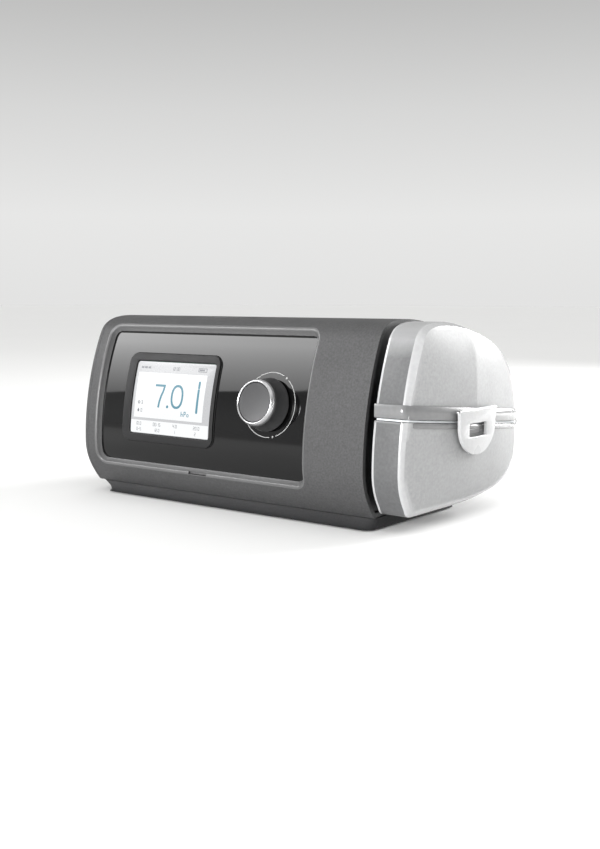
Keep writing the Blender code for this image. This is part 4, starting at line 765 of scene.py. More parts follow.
def make_plinth():
    """Flared foot frame; its front and left skirts are hollow curves."""
    rings = []
    for k in range(13):
        share = k / 12
        ring = []
        for u, v in rounded(PLINTH_LEFT - PLINTH_FLARE * share ** 1.5, PLINTH_RIGHT,
                            PLINTH_FRONT + (CHIN.x - PLINTH_FRONT) * share ** 0.6,
                            PLINTH_BACK, 0.0055, 8):
            slope = (HEEL.y - CHIN.y) / (HEEL.x - CHIN.x)
            top = CHIN.y - GAP + slope * (v - CHIN.x)
            ring.append((u, v, PLINTH_LOW_Z + (top - PLINTH_LOW_Z) * share))
        rings.append(ring)
    # The plinth's darker colour is painted shade.
    plinth = add("plinth_skin", skin(rings, "plinth_skin", True, True), "housing", "base",
                 ["base_plinth"])
    hollow = rounded(PLINTH_LEFT + PLINTH_WALL, PLINTH_RIGHT - PLINTH_WALL,
                     CHIN.x + PLINTH_WALL, PLINTH_BACK - PLINTH_WALL, 0.003)
    tools = [cutter(flat([hollow], 0.03, "hollow"),
                    at_z(PLINTH_LOW_Z + PLINTH_PLATE, PLINTH_LOW_Z + PLINTH_PLATE + 0.03))]
    for index in range(4):
        low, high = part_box(f"foot_{index + 1}")
        middle = (low + high) / 2 - ORIGIN
        tools.append(cutter(rod((middle.x, middle.y, -0.002), (middle.x, middle.y, high.z + GAP),
                                (high.x - low.x) / 2 + GAP)))
    for u, v in SCREW_PLACES:
        tools.append(cutter(rod((u, v, -0.002), (u, v, 0.002), 0.0031)))
        tools.append(cutter(rod((u, v, 0.001), (u, v, 0.008), 0.0018)))
    cut(plinth, tools)
    smooth(plinth, 30)
    soften(plinth, 0.0005, 2, 35)


def make_feet():
    for index in range(4):
        low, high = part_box(f"foot_{index + 1}")
        middle = (low + high) / 2 - ORIGIN
        radius = (high.x - low.x) / 2
        rib = radius * 0.72
        profile = [(radius, high.z), (radius, 0.0005), (radius - 0.0005, 0), (rib, 0),
                   (rib - 0.0004, 0.0003), (0.0006, 0.0003), (0.0006, high.z)]
        foot = add(f"foot_pad_{index + 1}", turned(profile, "foot_pad"), "housing", "rubber",
                   [f"foot_{index + 1}"],
                   Matrix.Translation((middle.x, middle.y, 0)))
        soften(foot, 0.0002)


def make_screws():
    for index, (u, v) in enumerate(SCREW_PLACES):
        low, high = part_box(f"base_screw_{index + 1}")
        profile = [(0.0001, low.z), (0.0022, low.z), (0.0028, low.z + 0.0002),
                   (0.0028, low.z + 0.0006), (0.0015, low.z + 0.0006), (0.0015, high.z),
                   (0.0001, high.z)]
        screw = add(f"base_screw_head_{index + 1}", turned(profile, "screw", 40), "housing",
                    "steel", [f"base_screw_{index + 1}"],
                    Matrix.Translation((u, v, 0)))
        cut(screw, [cutter(block((u - 0.0013, v - 0.0003, -0.001),
                                 (u + 0.0013, v + 0.0003, low.z + 0.0004))),
                    cutter(block((u - 0.0003, v - 0.0013, -0.001),
                                 (u + 0.0003, v + 0.0013, low.z + 0.0004)))])
        smooth(screw, 35)


# ---------------------------------------------------------------- front panel
def make_panel():
    top = RECESS[3] + 0.0044
    us = [RECESS[0] - 0.0016, RECESS[1] + 0.0016]
    panel = add("panel_skin", strip(us, RECESS[2] - 0.0016, top, RECESS_DEPTH, 0.002, "panel", 60),
                "housing", "gloss", ["control_panel"])
    point, out = front_at(KNOB_Z, RECESS_DEPTH)
    middle = Vector((KNOB_U, point.x, point.y))
    normal = Vector((0, out.x, out.y))
    cut(panel, [cutter(flat([rounded(*SCREEN, 0.002)], 0.08, "screen"), at_v(-0.02, 0.06)),
                cutter(rod(middle - normal * 0.01, middle + normal * 0.01, 0.004))])
    smooth(panel, 30)
    # A thin matte black sheet round the bezel: painted shadow of the groove.
    groove_rim = grown(BEZEL, 0.0005)
    ring = flat([rounded(*groove_rim, 0.0065, 10), rounded(*grown(BEZEL, -0.002), 0.004)[::-1]],
                0.0002, "groove")
    add("bezel_groove_painted_shadow", on_front(dense(ring, 0.003), RECESS_DEPTH - 0.00012), "housing", "groove")
    rim = flat([rounded(*BEZEL, 0.006, 12), rounded(*SCREEN, 0.002)[::-1]], BEZEL_PROUD,
               "bezel", 0.0004)
    add("bezel_skin", on_front(dense(rim, 0.003), RECESS_DEPTH - GAP - BEZEL_PROUD / 2), "housing",
        "bezel", ["display_bezel"])


def grown(box, amount):
    return (box[0] - amount, box[1] + amount, box[2] - amount, box[3] + amount)


def dense(mesh, pitch):
    """Splits a flat mesh along its height so that it can bend."""
    with editing(mesh) as bm:
        low = min(v.co.y for v in bm.verts)
        high = max(v.co.y for v in bm.verts)
        for k in range(1, int((high - low) / pitch)):
            geometry = bm.verts[:] + bm.edges[:] + bm.faces[:]
            bmesh.ops.bisect_plane(bm, geom=geometry, plane_co=(0, low + k * pitch, 0),
                                   plane_no=(0, 1, 0))
    return mesh


def picture(name, outlines, mat, lift):
    """One flat element of the display's picture; its outlines are in millimetres."""
    mesh = dense(flat([mm(outline) for outline in outlines], 0.00002, name), 0.004)
    for vertex in mesh.vertices:
        vertex.co.x += SCREEN[0]
        vertex.co.y += SCREEN[2]
    return add(name, on_front(mesh, GLASS_INSET - lift), "housing", mat)


def stroke(points, width):
    """Outline of a constant-width line through points, in millimetres."""
    left, right = [], []
    for i, point in enumerate(points):
        before = Vector(points[max(i - 1, 0)])
        after = Vector(points[min(i + 1, len(points) - 1)])
        run = (after - before).normalized()
        side = Vector((-run.y, run.x)) * width / 2
        left.append((point[0] + side.x, point[1] + side.y))
        right.append((point[0] - side.x, point[1] - side.y))
    return left + right[::-1]


def mm(outline):
    return [(x / 1000, y / 1000) for x, y in outline]


def bar(x0, x1, y0, y1):
    return [(x0, y0), (x1, y0), (x1, y1), (x0, y1)]


def oval(x, y, rx, ry, steps=40, power=2.0):
    """Closed oval; a higher power squares it off."""
    points = []
    for k in range(steps):
        angle = 2 * math.pi * k / steps
        c, s = math.cos(angle), math.sin(angle)
        points.append((x + rx * math.copysign(abs(c) ** (2 / power), c),
                       y + ry * math.copysign(abs(s) ** (2 / power), s)))
    return points


def oval_ring(x, y, rx, ry, width, steps, power=2.0):
    return [oval(x, y, rx, ry, steps, power),
            oval(x, y, rx - width, ry - width, steps, power)[::-1]]


SEGMENTS = {"0": "abcdef", "1": "bc", "2": "abged", "3": "abgcd", "4": "fgbc", "5": "afgcd",
            "6": "afgedc", "7": "abc", "8": "abcdefg", "9": "abcfgd", "-": "g"}


def small_figure(character, x, y, height, width):
    """One small segment figure as bars, in millimetres."""
    half, rim = height / 2, height * 0.13 / 2
    ends = {"a": ((0, height), (width, height)), "b": ((width, half), (width, height)),
            "c": ((width, 0), (width, half)), "d": ((0, 0), (width, 0)),
            "e": ((0, 0), (0, half)), "f": ((0, half), (0, height)),
            "g": ((0, half), (width, half))}
    outlines = []
    for key in SEGMENTS[character]:
        (x0, y0), (x1, y1) = ends[key]
        outlines.append(bar(x + min(x0, x1) - rim, x + max(x0, x1) + rim,
                            y + min(y0, y1) - rim, y + max(y0, y1) + rim))
    return outlines


def small_text(text, x, y, height):
    """A short row of small figures, points and colons."""
    width = height * 0.5
    step = 0
    for character in text:
        if character == ".":
            outlines = [bar(x + step, x + step + height * 0.15, y, y + height * 0.15)]
            advance = height * 0.4
        elif character == ":":
            outlines = [oval(x + step, y + height * share, height * 0.1, height * 0.1, 8)
                        for share in (0.28, 0.72)]
            advance = height * 0.35
        else:
            outlines = small_figure(character, x + step, y, height, width)
            advance = height * 0.8
        SMALL_FIGURES.extend(outlines)
        step += advance


SMALL_FIGURES = []


def make_screen():
    """Bonded display: pale frame, white field, figures, level bar and a row of readings."""
    width = (SCREEN[1] - SCREEN[0]) * 1000
    height = (SCREEN[3] - SCREEN[2]) * 1000
    glass = flat([rounded(SCREEN[0] + GAP, SCREEN[1] - GAP, SCREEN[2] + GAP, SCREEN[3] - GAP,
                          0.002)], 0.0012, "screen", 0.0002)
    add("screen_panel", on_front(dense(glass, 0.003), RECESS_DEPTH - 0.0001), "housing",
        "lcd_grey", ["display_window", "lcd_module"])
    field = {
        "screen_field": bar(2.8, width - 6.2, 10.3, height - 7.2),
        "screen_readings": bar(0.7, width - 0.9, 0.6, 8.6),
    }
    for name, outline in field.items():
        picture(name, [outline], "lcd_white", 0.00003)
    # Large reading: a seven, a point and a nought, drawn with thin strokes.
    stem = [(27.2, 31.0), (26.4, 27.6), (25.0, 24.4), (24.0, 21.0), (23.5, 17.3)]
    picture("reading_seven_stem", [stroke(stem, 1.5)], "lcd_teal", 0.00007)
    reading = {
        "reading_seven_top": [[(19.2, 31.7), (28.0, 31.7), (27.7, 30.3), (19.2, 30.3)]],
        "reading_point": [oval(31.2, 18.2, 0.95, 0.95, 20)],
        "reading_nought": oval_ring(38.6, 24.7, 5.2, 7.4, 1.5, 56, 2.3),
        "level_bar": [rounded(55.0, 56.7, 15.4, 35.0, 0.7)],
        "unit_ring": oval_ring(48.9, 13.8, 0.95, 1.0, 0.45, 20),
    }
    for name, outlines in reading.items():
        picture(name, outlines, "lcd_teal", 0.00006)
    # Unit under the reading: a plain pressure unit of seven strokes and the ring above.
    unit = (((43.4, 12.9), (43.4, 16.0)), ((43.4, 14.4), (44.6, 14.4)),
            ((44.6, 12.9), (44.6, 14.5)), ((45.8, 12.9), (45.8, 16.0)),
            ((45.8, 15.8), (47.0, 15.8)), ((45.8, 14.3), (47.0, 14.3)),
            ((47.0, 14.2), (47.0, 15.9)))
    for index, ends in enumerate(unit):
        picture(f"unit_stroke_{index}", [stroke(ends, 0.5)], "lcd_teal", 0.00006 + index * 1e-6)
    # Signs at the left of the field; top line with dashes for a mode name and a battery.
    top = height - 5.2
    signs = {
        "sign_hose": oval_ring(6.4, 19.8, 1.0, 1.0, 0.5, 16),
        "sign_drop": [[(6.4, 16.2), (7.2, 14.9), (7.0, 14.1), (6.4, 13.8), (5.8, 14.1),
                       (5.6, 14.9)]],
        "battery_case": [rounded(53.0, 60.0, top - 0.2, top + 2.2, 0.4),
                         rounded(53.4, 59.6, top + 0.2, top + 1.8, 0.2)[::-1]],
        "battery_fill": [rounded(53.8, 58.0, top + 0.5, top + 1.5, 0.1)],
        "mode_dash_0": [rounded(4.0, 6.2, top + 0.5, top + 1.7, 0.3)],
        "mode_dash_1": [rounded(6.8, 9.4, top + 0.5, top + 1.7, 0.3)],
        "mode_dash_2": [rounded(10.0, 12.2, top + 0.5, top + 1.7, 0.3)],
    }
    for name, outlines in signs.items():
        picture(name, outlines, "lcd_ink", 0.00006)
    small_text("3", 8.6, 18.8, 2.0)
    small_text("0", 8.6, 13.9, 2.0)
    small_text("12:30", 31.0, top, 1.9)
    # Bottom row: four readings of two short lines each.
    for x, upper, lower in ((7.4, "10.0", "0-5"), (22.8, "00:15", "12.0"), (39.8, "4.0", "1"),
                            (57.0, "20.0", "2")):
        small_text(upper, x - 2.6, 5.5, 1.9)
        small_text(lower, x - 1.6, 2.0, 1.8)
    merge_small()


def merge_small():
    """All small figures as one piece, so that the list of pieces stays short."""
    bm = bmesh.new()
    for outline in SMALL_FIGURES:
        verts = [bm.verts.new((x + SCREEN[0], z + SCREEN[2], 0.0)) for x, z in mm(outline)]
        bm.faces.new(verts)
    mesh = to_mesh(bm, "small_figures")
    add("small_figures", on_front(mesh, GLASS_INSET - 0.00008), "housing", "lcd_ink")


# ---------------------------------------------------------------- dial
def dial_frame():
    point, out = front_at(KNOB_Z, RECESS_DEPTH)
    normal = Vector((0, out.x, out.y))
    turn = Vector((0, 0, 1)).rotation_difference(normal).to_matrix().to_4x4()
    return Matrix.Translation((KNOB_U, point.x, point.y)) @ turn


def make_dial():
    spot = dial_frame()
    collar = KNOB_LENGTH - 0.0034
    waist = KNOB_TIP + 0.0009
    foot = 0.0008
    flank = []
    for k in range(9):
        share = k / 8
        radius = waist + (KNOB_RADIUS - waist) * share ** 1.5
        flank.append((radius, collar - 0.0008 - (collar - 0.0018 - foot) * share))
    body = add("knob_skin", turned([(0.0034, collar), (waist, collar)] + flank
                                   + [(KNOB_RADIUS - 0.0005, foot), (0.0034, foot)], "knob"),
               "dial", "knob", ["knob_body"], spot, 50)
    soften(body, 0.00025, 3)
    low = collar + GAP
    inner = KNOB_TIP - 0.0012
    band = add("knob_band", turned([(waist - 0.0002, low), (waist, low + 0.0003),
                                    (KNOB_TIP + 0.0005, low + 0.0014), (inner, low + 0.0014),
                                    (inner, low)], "band"),
               "dial", "satin_ring", [], spot, 50)
    soften(band, 0.00015, 2)
    ring = add("knob_chrome", turned([(KNOB_TIP + 0.0004, low + 0.0014),
                                      (KNOB_TIP, KNOB_LENGTH - 0.0006),
                                      (KNOB_TIP - 0.0004, KNOB_LENGTH - 0.0001),
                                      (inner + 0.0003, KNOB_LENGTH - 0.0001),
                                      (inner, KNOB_LENGTH - 0.0005), (inner, low + 0.0014)],
                                     "ring"),
               "dial", "chrome", ["knob_ring"], spot, 50)
    soften(ring, 0.0002, 3, 20)
    dish = [(0.00001, KNOB_LENGTH - 0.0012)]
    for k in range(1, 9):
        radius = (inner - 0.0004) * k / 8
        dish.append((radius, KNOB_LENGTH - 0.0012 + 0.0005 * (k / 8) ** 2))
    dish += [(inner - GAP, KNOB_LENGTH - 0.0009), (inner - GAP, low), (0.00001, low)]
    add("knob_dish", turned(dish, "dish"), "dial", "satin", ["knob_face"], spot, 50)
    make_dial_print()


def printed_arc(bm, x, y, height, radii, start, end, steps):
    """Flat band between two radii, from one angle in degrees to another."""
    rows = []
    for k in range(steps + 1):
        angle = math.radians(start + (end - start) * k / steps)
        rows.append([bm.verts.new((x + r * math.cos(angle), y + r * math.sin(angle), height))
                     for r in radii])
    for a, b in zip(rows, rows[1:]):
        bm.faces.new((a[0], a[1], b[1], b[0]))


def make_dial_print():
    """Thin printed circle round the dial: three arcs, and a dot in two of their gaps."""
    bm = bmesh.new()
    half = 0.00022
    for start, end in ((-172, -83), (-69, 51), (65, 172)):
        printed_arc(bm, KNOB_U, KNOB_Z, 0, (DIAL_RING - half, DIAL_RING + half), start, end,
                    (end - start) // 3)
    for angle in (58, -76):
        x = KNOB_U + DIAL_RING * math.cos(math.radians(angle))
        z = KNOB_Z + DIAL_RING * math.sin(math.radians(angle))
        bm.faces.new([bm.verts.new((px, pz, 0)) for px, pz in circle(x, z, 0.0006, 16)])
    mesh = to_mesh(bm, "dial_print")
    add("dial_print", on_front(mesh, RECESS_DEPTH - 0.00003), "housing", "print")


def make_button():
    u, v, length, width = BUTTON
    outline = rounded(u - length / 2, u + length / 2, v - width / 2, v + width / 2,
                      width / 2 - 0.00001, 14)
    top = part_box("start_button")[1].z
    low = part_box("start_button")[0].z
    add("button_cap", flat([outline], top - low, "button", 0.0006), "start_key", "charcoal",
        ["start_button"], at_z(low, top))
    printed = top + 0.00002
    bm = bmesh.new()
    printed_arc(bm, u, v, printed, (0.0016, 0.0019), 125, 415, 32)
    bm.faces.new([bm.verts.new((x, y, printed))
                  for x, y in bar(u - 0.00015, u + 0.00015, v + 0.0006, v + 0.0022)])
    add("button_sign", to_mesh(bm, "button_sign"), "start_key", "print")


# ---------------------------------------------------------------- chamber
def chamber_mesh(inset, left_u, crease, name):
    """Closed half-egg with a rounded corner band and a bowed end."""
    outline = chamber_outline(inset)
    straight = CORNER_U - CHAMBER_BEVEL - inset
    stations = (left_u, left_u + 0.0012, left_u + 0.0016, (left_u + straight) / 2, straight)
    rings = [[(u, v, z) for v, z in outline] for u in stations]
    turn_steps = 6
    for k in range(1, turn_steps + 1):
        angle = math.radians(90 * k / turn_steps)
        shrink = CHAMBER_BEVEL * (1 - math.cos(angle))
        u = straight + CHAMBER_BEVEL * math.sin(angle)
        ring = chamber_outline(inset + shrink)
        share = k / turn_steps
        rings.append([(u + bow(v, z, crease) * share ** 3, v, z) for v, z in ring])
    corner = chamber_outline(inset + CHAMBER_BEVEL)
    for shrink in (0.97, 0.93, 0.87, 0.8, 0.7, 0.6, 0.5, 0.4, 0.3, 0.2, 0.1):
        ring = []
        for v, z in corner:
            v = MID_V + (v - MID_V) * shrink
            z = MID_Z + (z - MID_Z) * shrink
            ring.append((CORNER_U - inset + bow(v, z, crease), v, z))
        rings.append(ring)
    mesh = skin(rings, name, cap_first=True)
    bm = bmesh.new()
    bm.from_mesh(mesh)
    bm.verts.ensure_lookup_table()
    tip = bm.verts.new((CORNER_U - inset + CHAMBER_BOW, MID_V, MID_Z))
    last = bm.verts[len(bm.verts) - 1 - len(outline):len(bm.verts) - 1]
    for i in range(len(last)):
        bm.faces.new((last[i], last[(i + 1) % len(last)], tip))
    # The corner band and a thin strip at the left end take a clearer finish whose lighter colour is a
    # painted highlight; the long sides take the collar colour, painted shade.
    band_low = straight + CHAMBER_BEVEL * 0.1
    for face in bm.faces:
        centre = face.calc_center_median()
        face.material_index = 2 if centre.x < band_low else 0
        # Width of the painted highlight band: widest low down, thin in the middle, wider again near
        # the top.
        clear = 0.0020 if centre.z < 0.03 else 0.0002 if centre.z < SPLIT_Z - 0.01 else 0.0011
        if centre.x > band_low and edge_distance(centre, corner) < clear:
            face.material_index = 1
        elif left_u + 0.0001 < centre.x < left_u + 0.0014:
            face.material_index = 1
    bmesh.ops.recalc_face_normals(bm, faces=bm.faces)
    bm.to_mesh(mesh)
    bm.free()
    for mat in ("frost", "frost_clear", "collar"):
        mesh.materials.append(MAT[mat])
    return mesh


def edge_distance(point, outline):
    """Signed distance of a point inside an outline; negative outside it."""
    inside = False
    best = 1.0
    for a, b in zip(outline, outline[1:] + outline[:1]):
        run = Vector((b[0] - a[0], b[1] - a[1]))
        if run.length < 1e-9:
            continue
        to = Vector((point.y - a[0], point.z - a[1]))
        share = min(max(to.dot(run) / run.length_squared, 0), 1)
        best = min(best, (to - run * share).length)
        if (a[1] > point.z) != (b[1] > point.z):
            if point.y < a[0] + (point.z - a[1]) / (b[1] - a[1]) * (b[0] - a[0]):
                inside = not inside
    return best if inside else -best


def slice_plane(mesh, drop, keep_upper):
    """Cuts a mesh at the split plane and keeps one side, open."""
    normal = Vector((0, SPLIT_SLOPE, 1)).normalized()
    with editing(mesh) as bm:
        geometry = bm.verts[:] + bm.edges[:] + bm.faces[:]
        bmesh.ops.bisect_plane(bm, geom=geometry, plane_co=(0, 0, SPLIT_Z - drop),
                               plane_no=normal, clear_outer=not keep_upper,
                               clear_inner=keep_upper)
    return mesh


def belt_mesh(profile, name):
    """Ring with a small section, run round the chamber along the split plane."""
    rings = []
    for grow, lift in profile + profile[:1]:
        rings.append([(u, v, split_z(v) + lift) for u, v in plan_outline(grow)])
    return weld(skin(rings, name))


def thicken(obj, wall):
    mod = obj.modifiers.new("wall", "SOLIDIFY")
    mod.thickness = wall
    mod.offset = -1
    mod.use_even_offset = True
    mod.use_rim = True
    return obj


def make_lid():
    dome = add("lid_dome", slice_plane(chamber_mesh(0, DOCK_U, 0.5, "lid_dome"), 0, True), "lid",
               None, ["lid_shell"], None, 24)
    thicken(dome, CHAMBER_WALL - 0.0002)
    cut(dome, [cutter(rod((DOCK_U - 0.01, v, z), (DOCK_U + 0.004, v, z), PORT_RADIUS))
               for v, z in PORTS]
        + [cutter(rod((DOCK_U + 0.0047, HINGE_V, HINGE_Z), (DOCK_U + 0.0133, HINGE_V, HINGE_Z),
                      HINGE_RADIUS + GAP))])
    smooth(dome, 24)
    proud = BELT_PROUD
    soft = 0.0004
    belt = add("lid_belt", belt_mesh([
        (-0.0008, 0.0001), (proud - soft, 0), (proud, soft), (proud, BELT_HEIGHT - soft),
        (proud - soft, BELT_HEIGHT), (-0.0008, BELT_HEIGHT)], "lid_belt"), "lid", "belt",
        [], None, 60)
    make_knuckles()
    make_port_rims()
    return belt


def make_knuckles():
    left = DOCK_U + 0.001
    spans = (("lid_knuckle_1", left, left + 0.004, "lid"),
             ("lid_knuckle_2", left + 0.012, left + 0.016, "lid"),
             ("tank_knuckle", left + 0.004 + GAP, left + 0.012 - GAP, "chamber"))
    for name, u0, u1, body in spans:
        length = u1 - u0
        profile = [(HINGE_RADIUS, 0), (HINGE_RADIUS, length), (0.0013, length), (0.0013, 0)]
        spot = Matrix.Translation((u0, HINGE_V, HINGE_Z)) @ ALONG_X
        soften(add(name, turned(profile, name, 48), body, "frost", [], spot),
               0.0003)


def make_port_rims():
    """Raised rings round the lid's two air ports."""
    for index, (v, z) in enumerate(PORTS):
        spot = Matrix.Translation((DOCK_U + 0.0001, v, z)) @ ALONG_X
        rim = [(PORT_RADIUS + 0.0016, 0.0001), (PORT_RADIUS + 0.0016, 0.0004),
               (PORT_RADIUS + 0.0002, 0.0004), (PORT_RADIUS + 0.0002, 0.0001)]
        soften(add(f"port_rim_{index + 1}", turned(rim, "port_rim"), "lid", "frost_clear",
                   [], spot), 0.0001)


def make_tank():
    shell = add("tank_shell", slice_plane(chamber_mesh(0, DOCK_U, 0.0, "tank_shell"), SEAL_GAP,
                                          False),
                "chamber", None, ["tank_body"], None, 24)
    thicken(shell, CHAMBER_WALL - 0.0002)
    (v0, v1), (z0, z1) = INNER_V, INNER_Z
    wall = CHAMBER_WALL
    opening = block((DOCK_U - 0.004, v0 + wall, z0 + 0.003), (DOCK_U + 0.004, v1 - wall, z1 - 0.0005))
    cut(shell, [cutter(opening)]
        + [cutter(rod((a, HINGE_V, HINGE_Z), (b, HINGE_V, HINGE_Z), HINGE_RADIUS + GAP))
           for a, b in ((DOCK_U + 0.0007, DOCK_U + 0.0053), (DOCK_U + 0.0127, DOCK_U + 0.0173))])
    smooth(shell, 24)
    proud = BELT_PROUD * 0.6
    soft = 0.0003
    add("tank_rim", belt_mesh([(-0.0014, -SEAL_GAP - 0.003), (proud - soft, -SEAL_GAP - 0.003),
                               (proud, -SEAL_GAP - 0.003 + soft), (proud, -SEAL_GAP - soft),
                               (proud - soft, -SEAL_GAP), (-0.0014, -SEAL_GAP)], "tank_rim"),
        "chamber", "belt", [], None, 60)
    inner_box = add("tank_box", block((INNER_LEFT, v0, z0), (DOCK_U + 0.0003, v1, z1), "tank_box"),
                    "chamber", "frost")
    plate_low, plate_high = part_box("tank_heat_plate")
    plate_low, plate_high = plate_low - ORIGIN, plate_high - ORIGIN
    cut(inner_box, [
        cutter(block((INNER_LEFT + wall, v0 + wall, z0 + 0.003),
                     (DOCK_U + 0.004, v1 - wall, z1 + 0.01))),
        cutter(block((plate_low.x - GAP, plate_low.y - GAP, 0),
                     (plate_high.x + GAP, plate_high.y + GAP, plate_high.z + GAP)))])
    smooth(inner_box, 30)
    soften(inner_box, 0.0006, 3)
    # The catch nose takes the dark collar colour: painted shade inside the latch slot.
    nose = block((RIDGE_U - 0.0015, LATCH_V - 0.007, SLOT[2] + 0.0012),
                 (RIDGE_U + BELT_PROUD, LATCH_V + 0.007, SLOT[2] + 0.0042), "catch")
    soften(add("catch_nose", nose, "chamber", "collar"), 0.0004)


def make_latch():
    outline = [(LATCH_V - LATCH_HALF, LATCH_HINGE_Z)]
    depth = LATCH_HINGE_Z - LATCH_LOW
    for k in range(37):
        angle = math.radians(180 + 180 * k / 36)
        bend = abs(math.sin(angle))
        outline.append((LATCH_V + LATCH_HALF * 0.985 * math.cos(angle),
                        LATCH_HINGE_Z - depth * 0.34 - depth * 0.66 * bend))
    outline.append((LATCH_V + LATCH_HALF, LATCH_HINGE_Z))
    slot = rounded(*SLOT, 0.001)
    add("latch_skin", flat([outline, slot[::-1]], LATCH_THICK, "latch", 0.0004), "latch",
        "latch", ["latch_plate"], at_u(LATCH_U, LATCH_U + LATCH_THICK))
    barrel = [(LATCH_THICK / 2, 0), (LATCH_THICK / 2, LATCH_HALF * 2), (0.0008, LATCH_HALF * 2),
              (0.0008, 0)]
    spot = Matrix.Translation((LATCH_U + LATCH_THICK / 2, LATCH_V - LATCH_HALF, LATCH_HINGE_Z)) \
        @ Matrix.Rotation(math.radians(-90), 4, "X")
    soften(add("latch_barrel", turned(barrel, "barrel", 40), "latch", "frost_clear",
               [], spot), 0.0002)


# ---------------------------------------------------------------- rear
def make_rear():
    v0, v1 = HOUSING_DEPTH - REAR_THICK, HOUSING_DEPTH
    holes = [circle(*OUTLET, WELL_RADIUS + 0.0023, 96)[::-1],
             rounded(*FILTER, 0.0008)[::-1], rounded(*CARD, 0.0006)[::-1],
             rounded(*grown(JACK, GAP), 0.0006)[::-1]]
    add("rear_skin", flat([rounded(*REAR, 0.0015)] + holes, REAR_THICK, "rear", 0.0003),
        "housing", "base", ["rear_panel"], at_v(v0, v1))
    rear = v1 - 0.0002
    front = v1 - 0.0195
    tall = rear - front
    outer = WELL_RADIUS + 0.002
    spin = Matrix.Translation((OUTLET[0], front, OUTLET[1])) @ Matrix.Rotation(
        math.radians(-90), 4, "X")
    profile = [(outer, tall), (outer, 0), (0.0093, 0), (0.0093, tall), (0.0105, tall),
               (0.011, tall - 0.0012), (0.011, 0.0015), (WELL_RADIUS, 0.0015),
               (WELL_RADIUS, tall)]
    soften(add("outlet_skin", turned(profile, "outlet"), "housing", "black",
               ["hose_outlet"], spin), 0.0003)
    jack_v = (v1 - 0.0157, rear)
    bore = circle((JACK[0] + JACK[1]) / 2, (JACK[2] + JACK[3]) / 2, 0.0028, 48)[::-1]
    add("jack_skin", flat([rounded(*JACK, 0.0008), bore], jack_v[1] - jack_v[0], "jack", 0.0003),
        "housing", "black", ["power_jack"], at_v(*jack_v))
    slots = []
    for k in range(5):
        z = FILTER[2] + 0.004 + 0.0036 * k
        slots.append(rounded(FILTER[0] + 0.006, FILTER[1] - 0.006, z, z + 0.0016, 0.0007)[::-1])
    add("filter_door_skin", flat([rounded(*grown(FILTER, -GAP), 0.0008)] + slots, DOOR_THICK,
                                 "filter_door", 0.0003),
        "filter_flap", "base", ["filter_door"], at_v(v1 - DOOR_THICK, v1))
    door = add("card_door_skin", flat([rounded(*grown(CARD, -GAP), 0.0006)], DOOR_THICK, "card_door",
                                      0.0003),
               "card_flap", "base", ["card_door"], at_v(v1 - DOOR_THICK, v1))
    middle = (CARD[0] + CARD[1]) / 2
    cut(door, [cutter(rod((middle, v1 + 0.0044, CARD[3] - 0.0022),
                          (middle + 0.00001, v1 + 0.0044, CARD[3] + 0.002), 0.005, "thumb", 64))])
    smooth(door, 30)


def make_seals():
    """Soft bellows between the housing's ports and the lid."""
    for name, (v, z) in zip(("supply_port_seal", "return_port_seal"), PORTS):
        low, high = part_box(name)
        length = high.x - low.x
        inner, outer = PORT_RADIUS + 0.0003, PORT_RADIUS + 0.0025
        wave = [(outer - (0.0006 if k % 2 else 0), length * (0.12 + 0.76 * k / 6))
                for k in range(7)]
        profile = [(inner, 0), (outer, 0)] + wave + [(outer, length), (inner, length)]
        spot = Matrix.Translation((low.x - ORIGIN.x, v, z)) @ ALONG_X
        soften(add(f"{name}_skin", turned(profile, name), "housing", "silicone",
                   [name], spot), 0.0002, 2, 25)


CARRIED = {
    "black": ("dock_wall", "tank_bay", "filter_box", "encoder_body", "start_switch",
              "chassis_tray"),
    "steel": ("power_jack_pin", "card_socket", "encoder_shaft", "motor_stator", "rotor_shaft",
              "heater_spring_1", "heater_spring_2", "lid_hinge_pin", "latch_pin"),
    "aluminium": ("heater_plate", "tank_heat_plate"),
    "white": ("flow_sensor", "blower_lower_case", "blower_upper_case", "impeller", "heater_base"),
    "silicone": ("inlet_duct", "supply_duct", "return_duct", "lid_seal"),
    "board": ("main_board", "key_board"),
    "foam": ("air_filter",),
    "frost": ("tank_deck",),
}


def finish_cad_nodes():
    """CAD nodes whose shape is right keep it and take a finish."""
    for mat, names in CARRIED.items():
        for name in names:
            NODES[name].data.materials.clear()
            NODES[name].data.materials.append(MAT[mat])


# ---------------------------------------------------------------- stage
def make_floor():
    shade = Shade("pale_floor", (0.93, 0.93, 0.925), 0.7)
    shade.mottle(shade.noise(3, 2), 0.01)
    shade.rough(shade.noise(2, 2), 0.05)
    bm = bmesh.new()
    bmesh.ops.create_grid(bm, x_segments=1, y_segments=1, size=12)
    floor = linked("floor", to_mesh(bm, "floor"))
    floor.data.materials.append(shade.mat)


def make_world():
    """Pale studio: lightest at the horizon, greyer overhead."""
    world = bpy.data.worlds.new("studio")
    world.use_nodes = True
    nodes, links = world.node_tree.nodes, world.node_tree.links
    coords = nodes.new("ShaderNodeTexCoord")
    split = nodes.new("ShaderNodeSeparateXYZ")
    ramp = nodes.new("ShaderNodeValToRGB")
    links.new(coords.outputs["Generated"], split.inputs["Vector"])
    links.new(split.outputs["Z"], ramp.inputs["Fac"])
    links.new(ramp.outputs["Color"], nodes["Background"].inputs["Color"])
    stops = ramp.color_ramp.elements
    stops[0].position, stops[1].position = 0.0, 0.75
    stops[0].color = (0.77, 0.77, 0.765, 1)
    stops[1].color = (1.0, 1.0, 0.993, 1)
    for position, level in ((0.07, 0.8), (0.16, 0.68), (0.26, 0.5), (0.38, 0.45)):
        stop = stops.new(position)
        stop.color = (level, level, level * 0.993, 1)
    bpy.context.scene.world = world


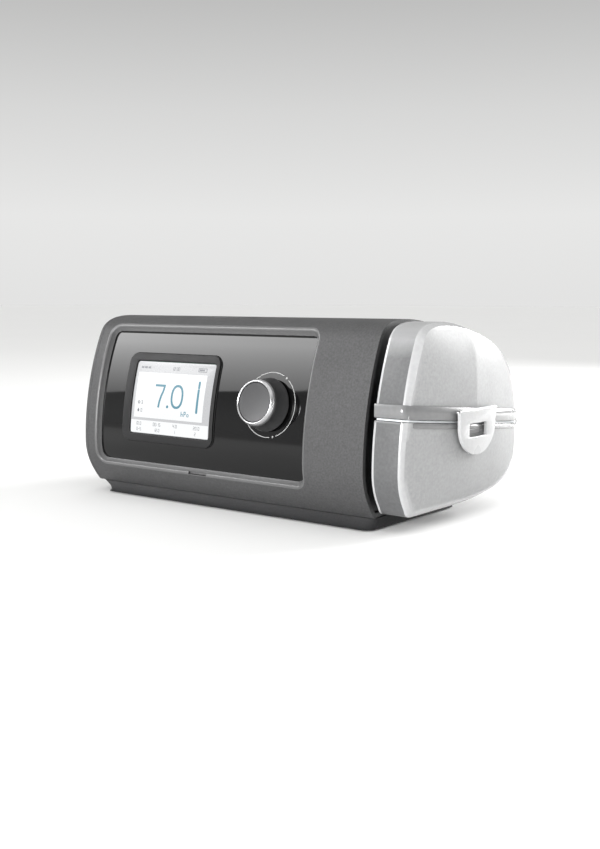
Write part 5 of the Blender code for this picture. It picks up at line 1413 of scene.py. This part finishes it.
def area(name, place, target, size, power):
    light = bpy.data.lights.new(name, "AREA")
    light.shape = "RECTANGLE"
    light.size, light.size_y = size
    light.energy = power
    obj = linked(name, light)
    obj.location = place
    aim = Vector(target) - Vector(place)
    obj.rotation_euler = aim.to_track_quat("-Z", "Y").to_euler()


def make_reflector():
    """Tall soft card in front, whose lower edge draws the line across the panel."""
    shade = Shade("softbox", (0, 0, 0), 1.0)
    split = shade.nodes.new("ShaderNodeSeparateXYZ")
    shade.links.new(shade.coords.outputs["Object"], split.inputs["Vector"])
    level = shade.spread(split.outputs["Y"], 3.2, 10.5, 0.4, 1.15)
    shade.shader.inputs["Emission Color"].default_value = (1, 1, 1, 1)
    shade.links.new(level, shade.shader.inputs["Emission Strength"])
    bm = bmesh.new()
    lower = ((-2.7, 0.02), (-1.62, 0.16), (-1.52, 0.26), (-1.46, 0.35), (-1.37, 0.40),
             (-0.91, 0.54), (-0.87, 0.58), (-0.84, 0.68), (-0.82, 0.85))
    low = [bm.verts.new((x, z, 0)) for x, z in lower]
    high = [bm.verts.new((x, 1.75, 0)) for x, z in lower]
    for i in range(len(lower) - 1):
        bm.faces.new((low[i], low[i + 1], high[i + 1], high[i]))
    mesh = to_mesh(bm, "softbox")
    mesh.materials.append(shade.mat)
    obj = linked("softbox", mesh)
    obj.matrix_world = Matrix.Translation((0, -1.2, 0)) @ ALONG_Y
    obj.visible_camera = False
    obj.visible_diffuse = False
    obj.visible_shadow = False


def make_camera():
    data = bpy.data.cameras.new("camera")
    data.sensor_width = 36
    data.lens = 46.815
    data.clip_start = 0.01
    camera = linked("camera", data)
    camera.location = (0.42382, -0.54177, 0.1267)
    camera.rotation_euler = (math.radians(90 - 6.63), 0, math.radians(37.83))
    bpy.context.scene.camera = camera


make_sleeve()
make_end_cover()
make_plinth()
make_feet()
make_screws()
make_panel()
make_screen()
make_dial()
make_button()
make_lid()
make_tank()
make_latch()
make_rear()
make_seals()
finish_cad_nodes()
make_floor()
make_world()
make_reflector()
area("front_key", (0.15, -1.5, 0.32), (0, 0, 0.05), (0.9, 0.4), 29)
area("rear_fill", (0.45, 1.15, 0.4), (0.12, 0, 0.06), (0.6, 0.5), 22)
make_camera()
bpy.context.scene.view_settings.view_transform = "Standard"
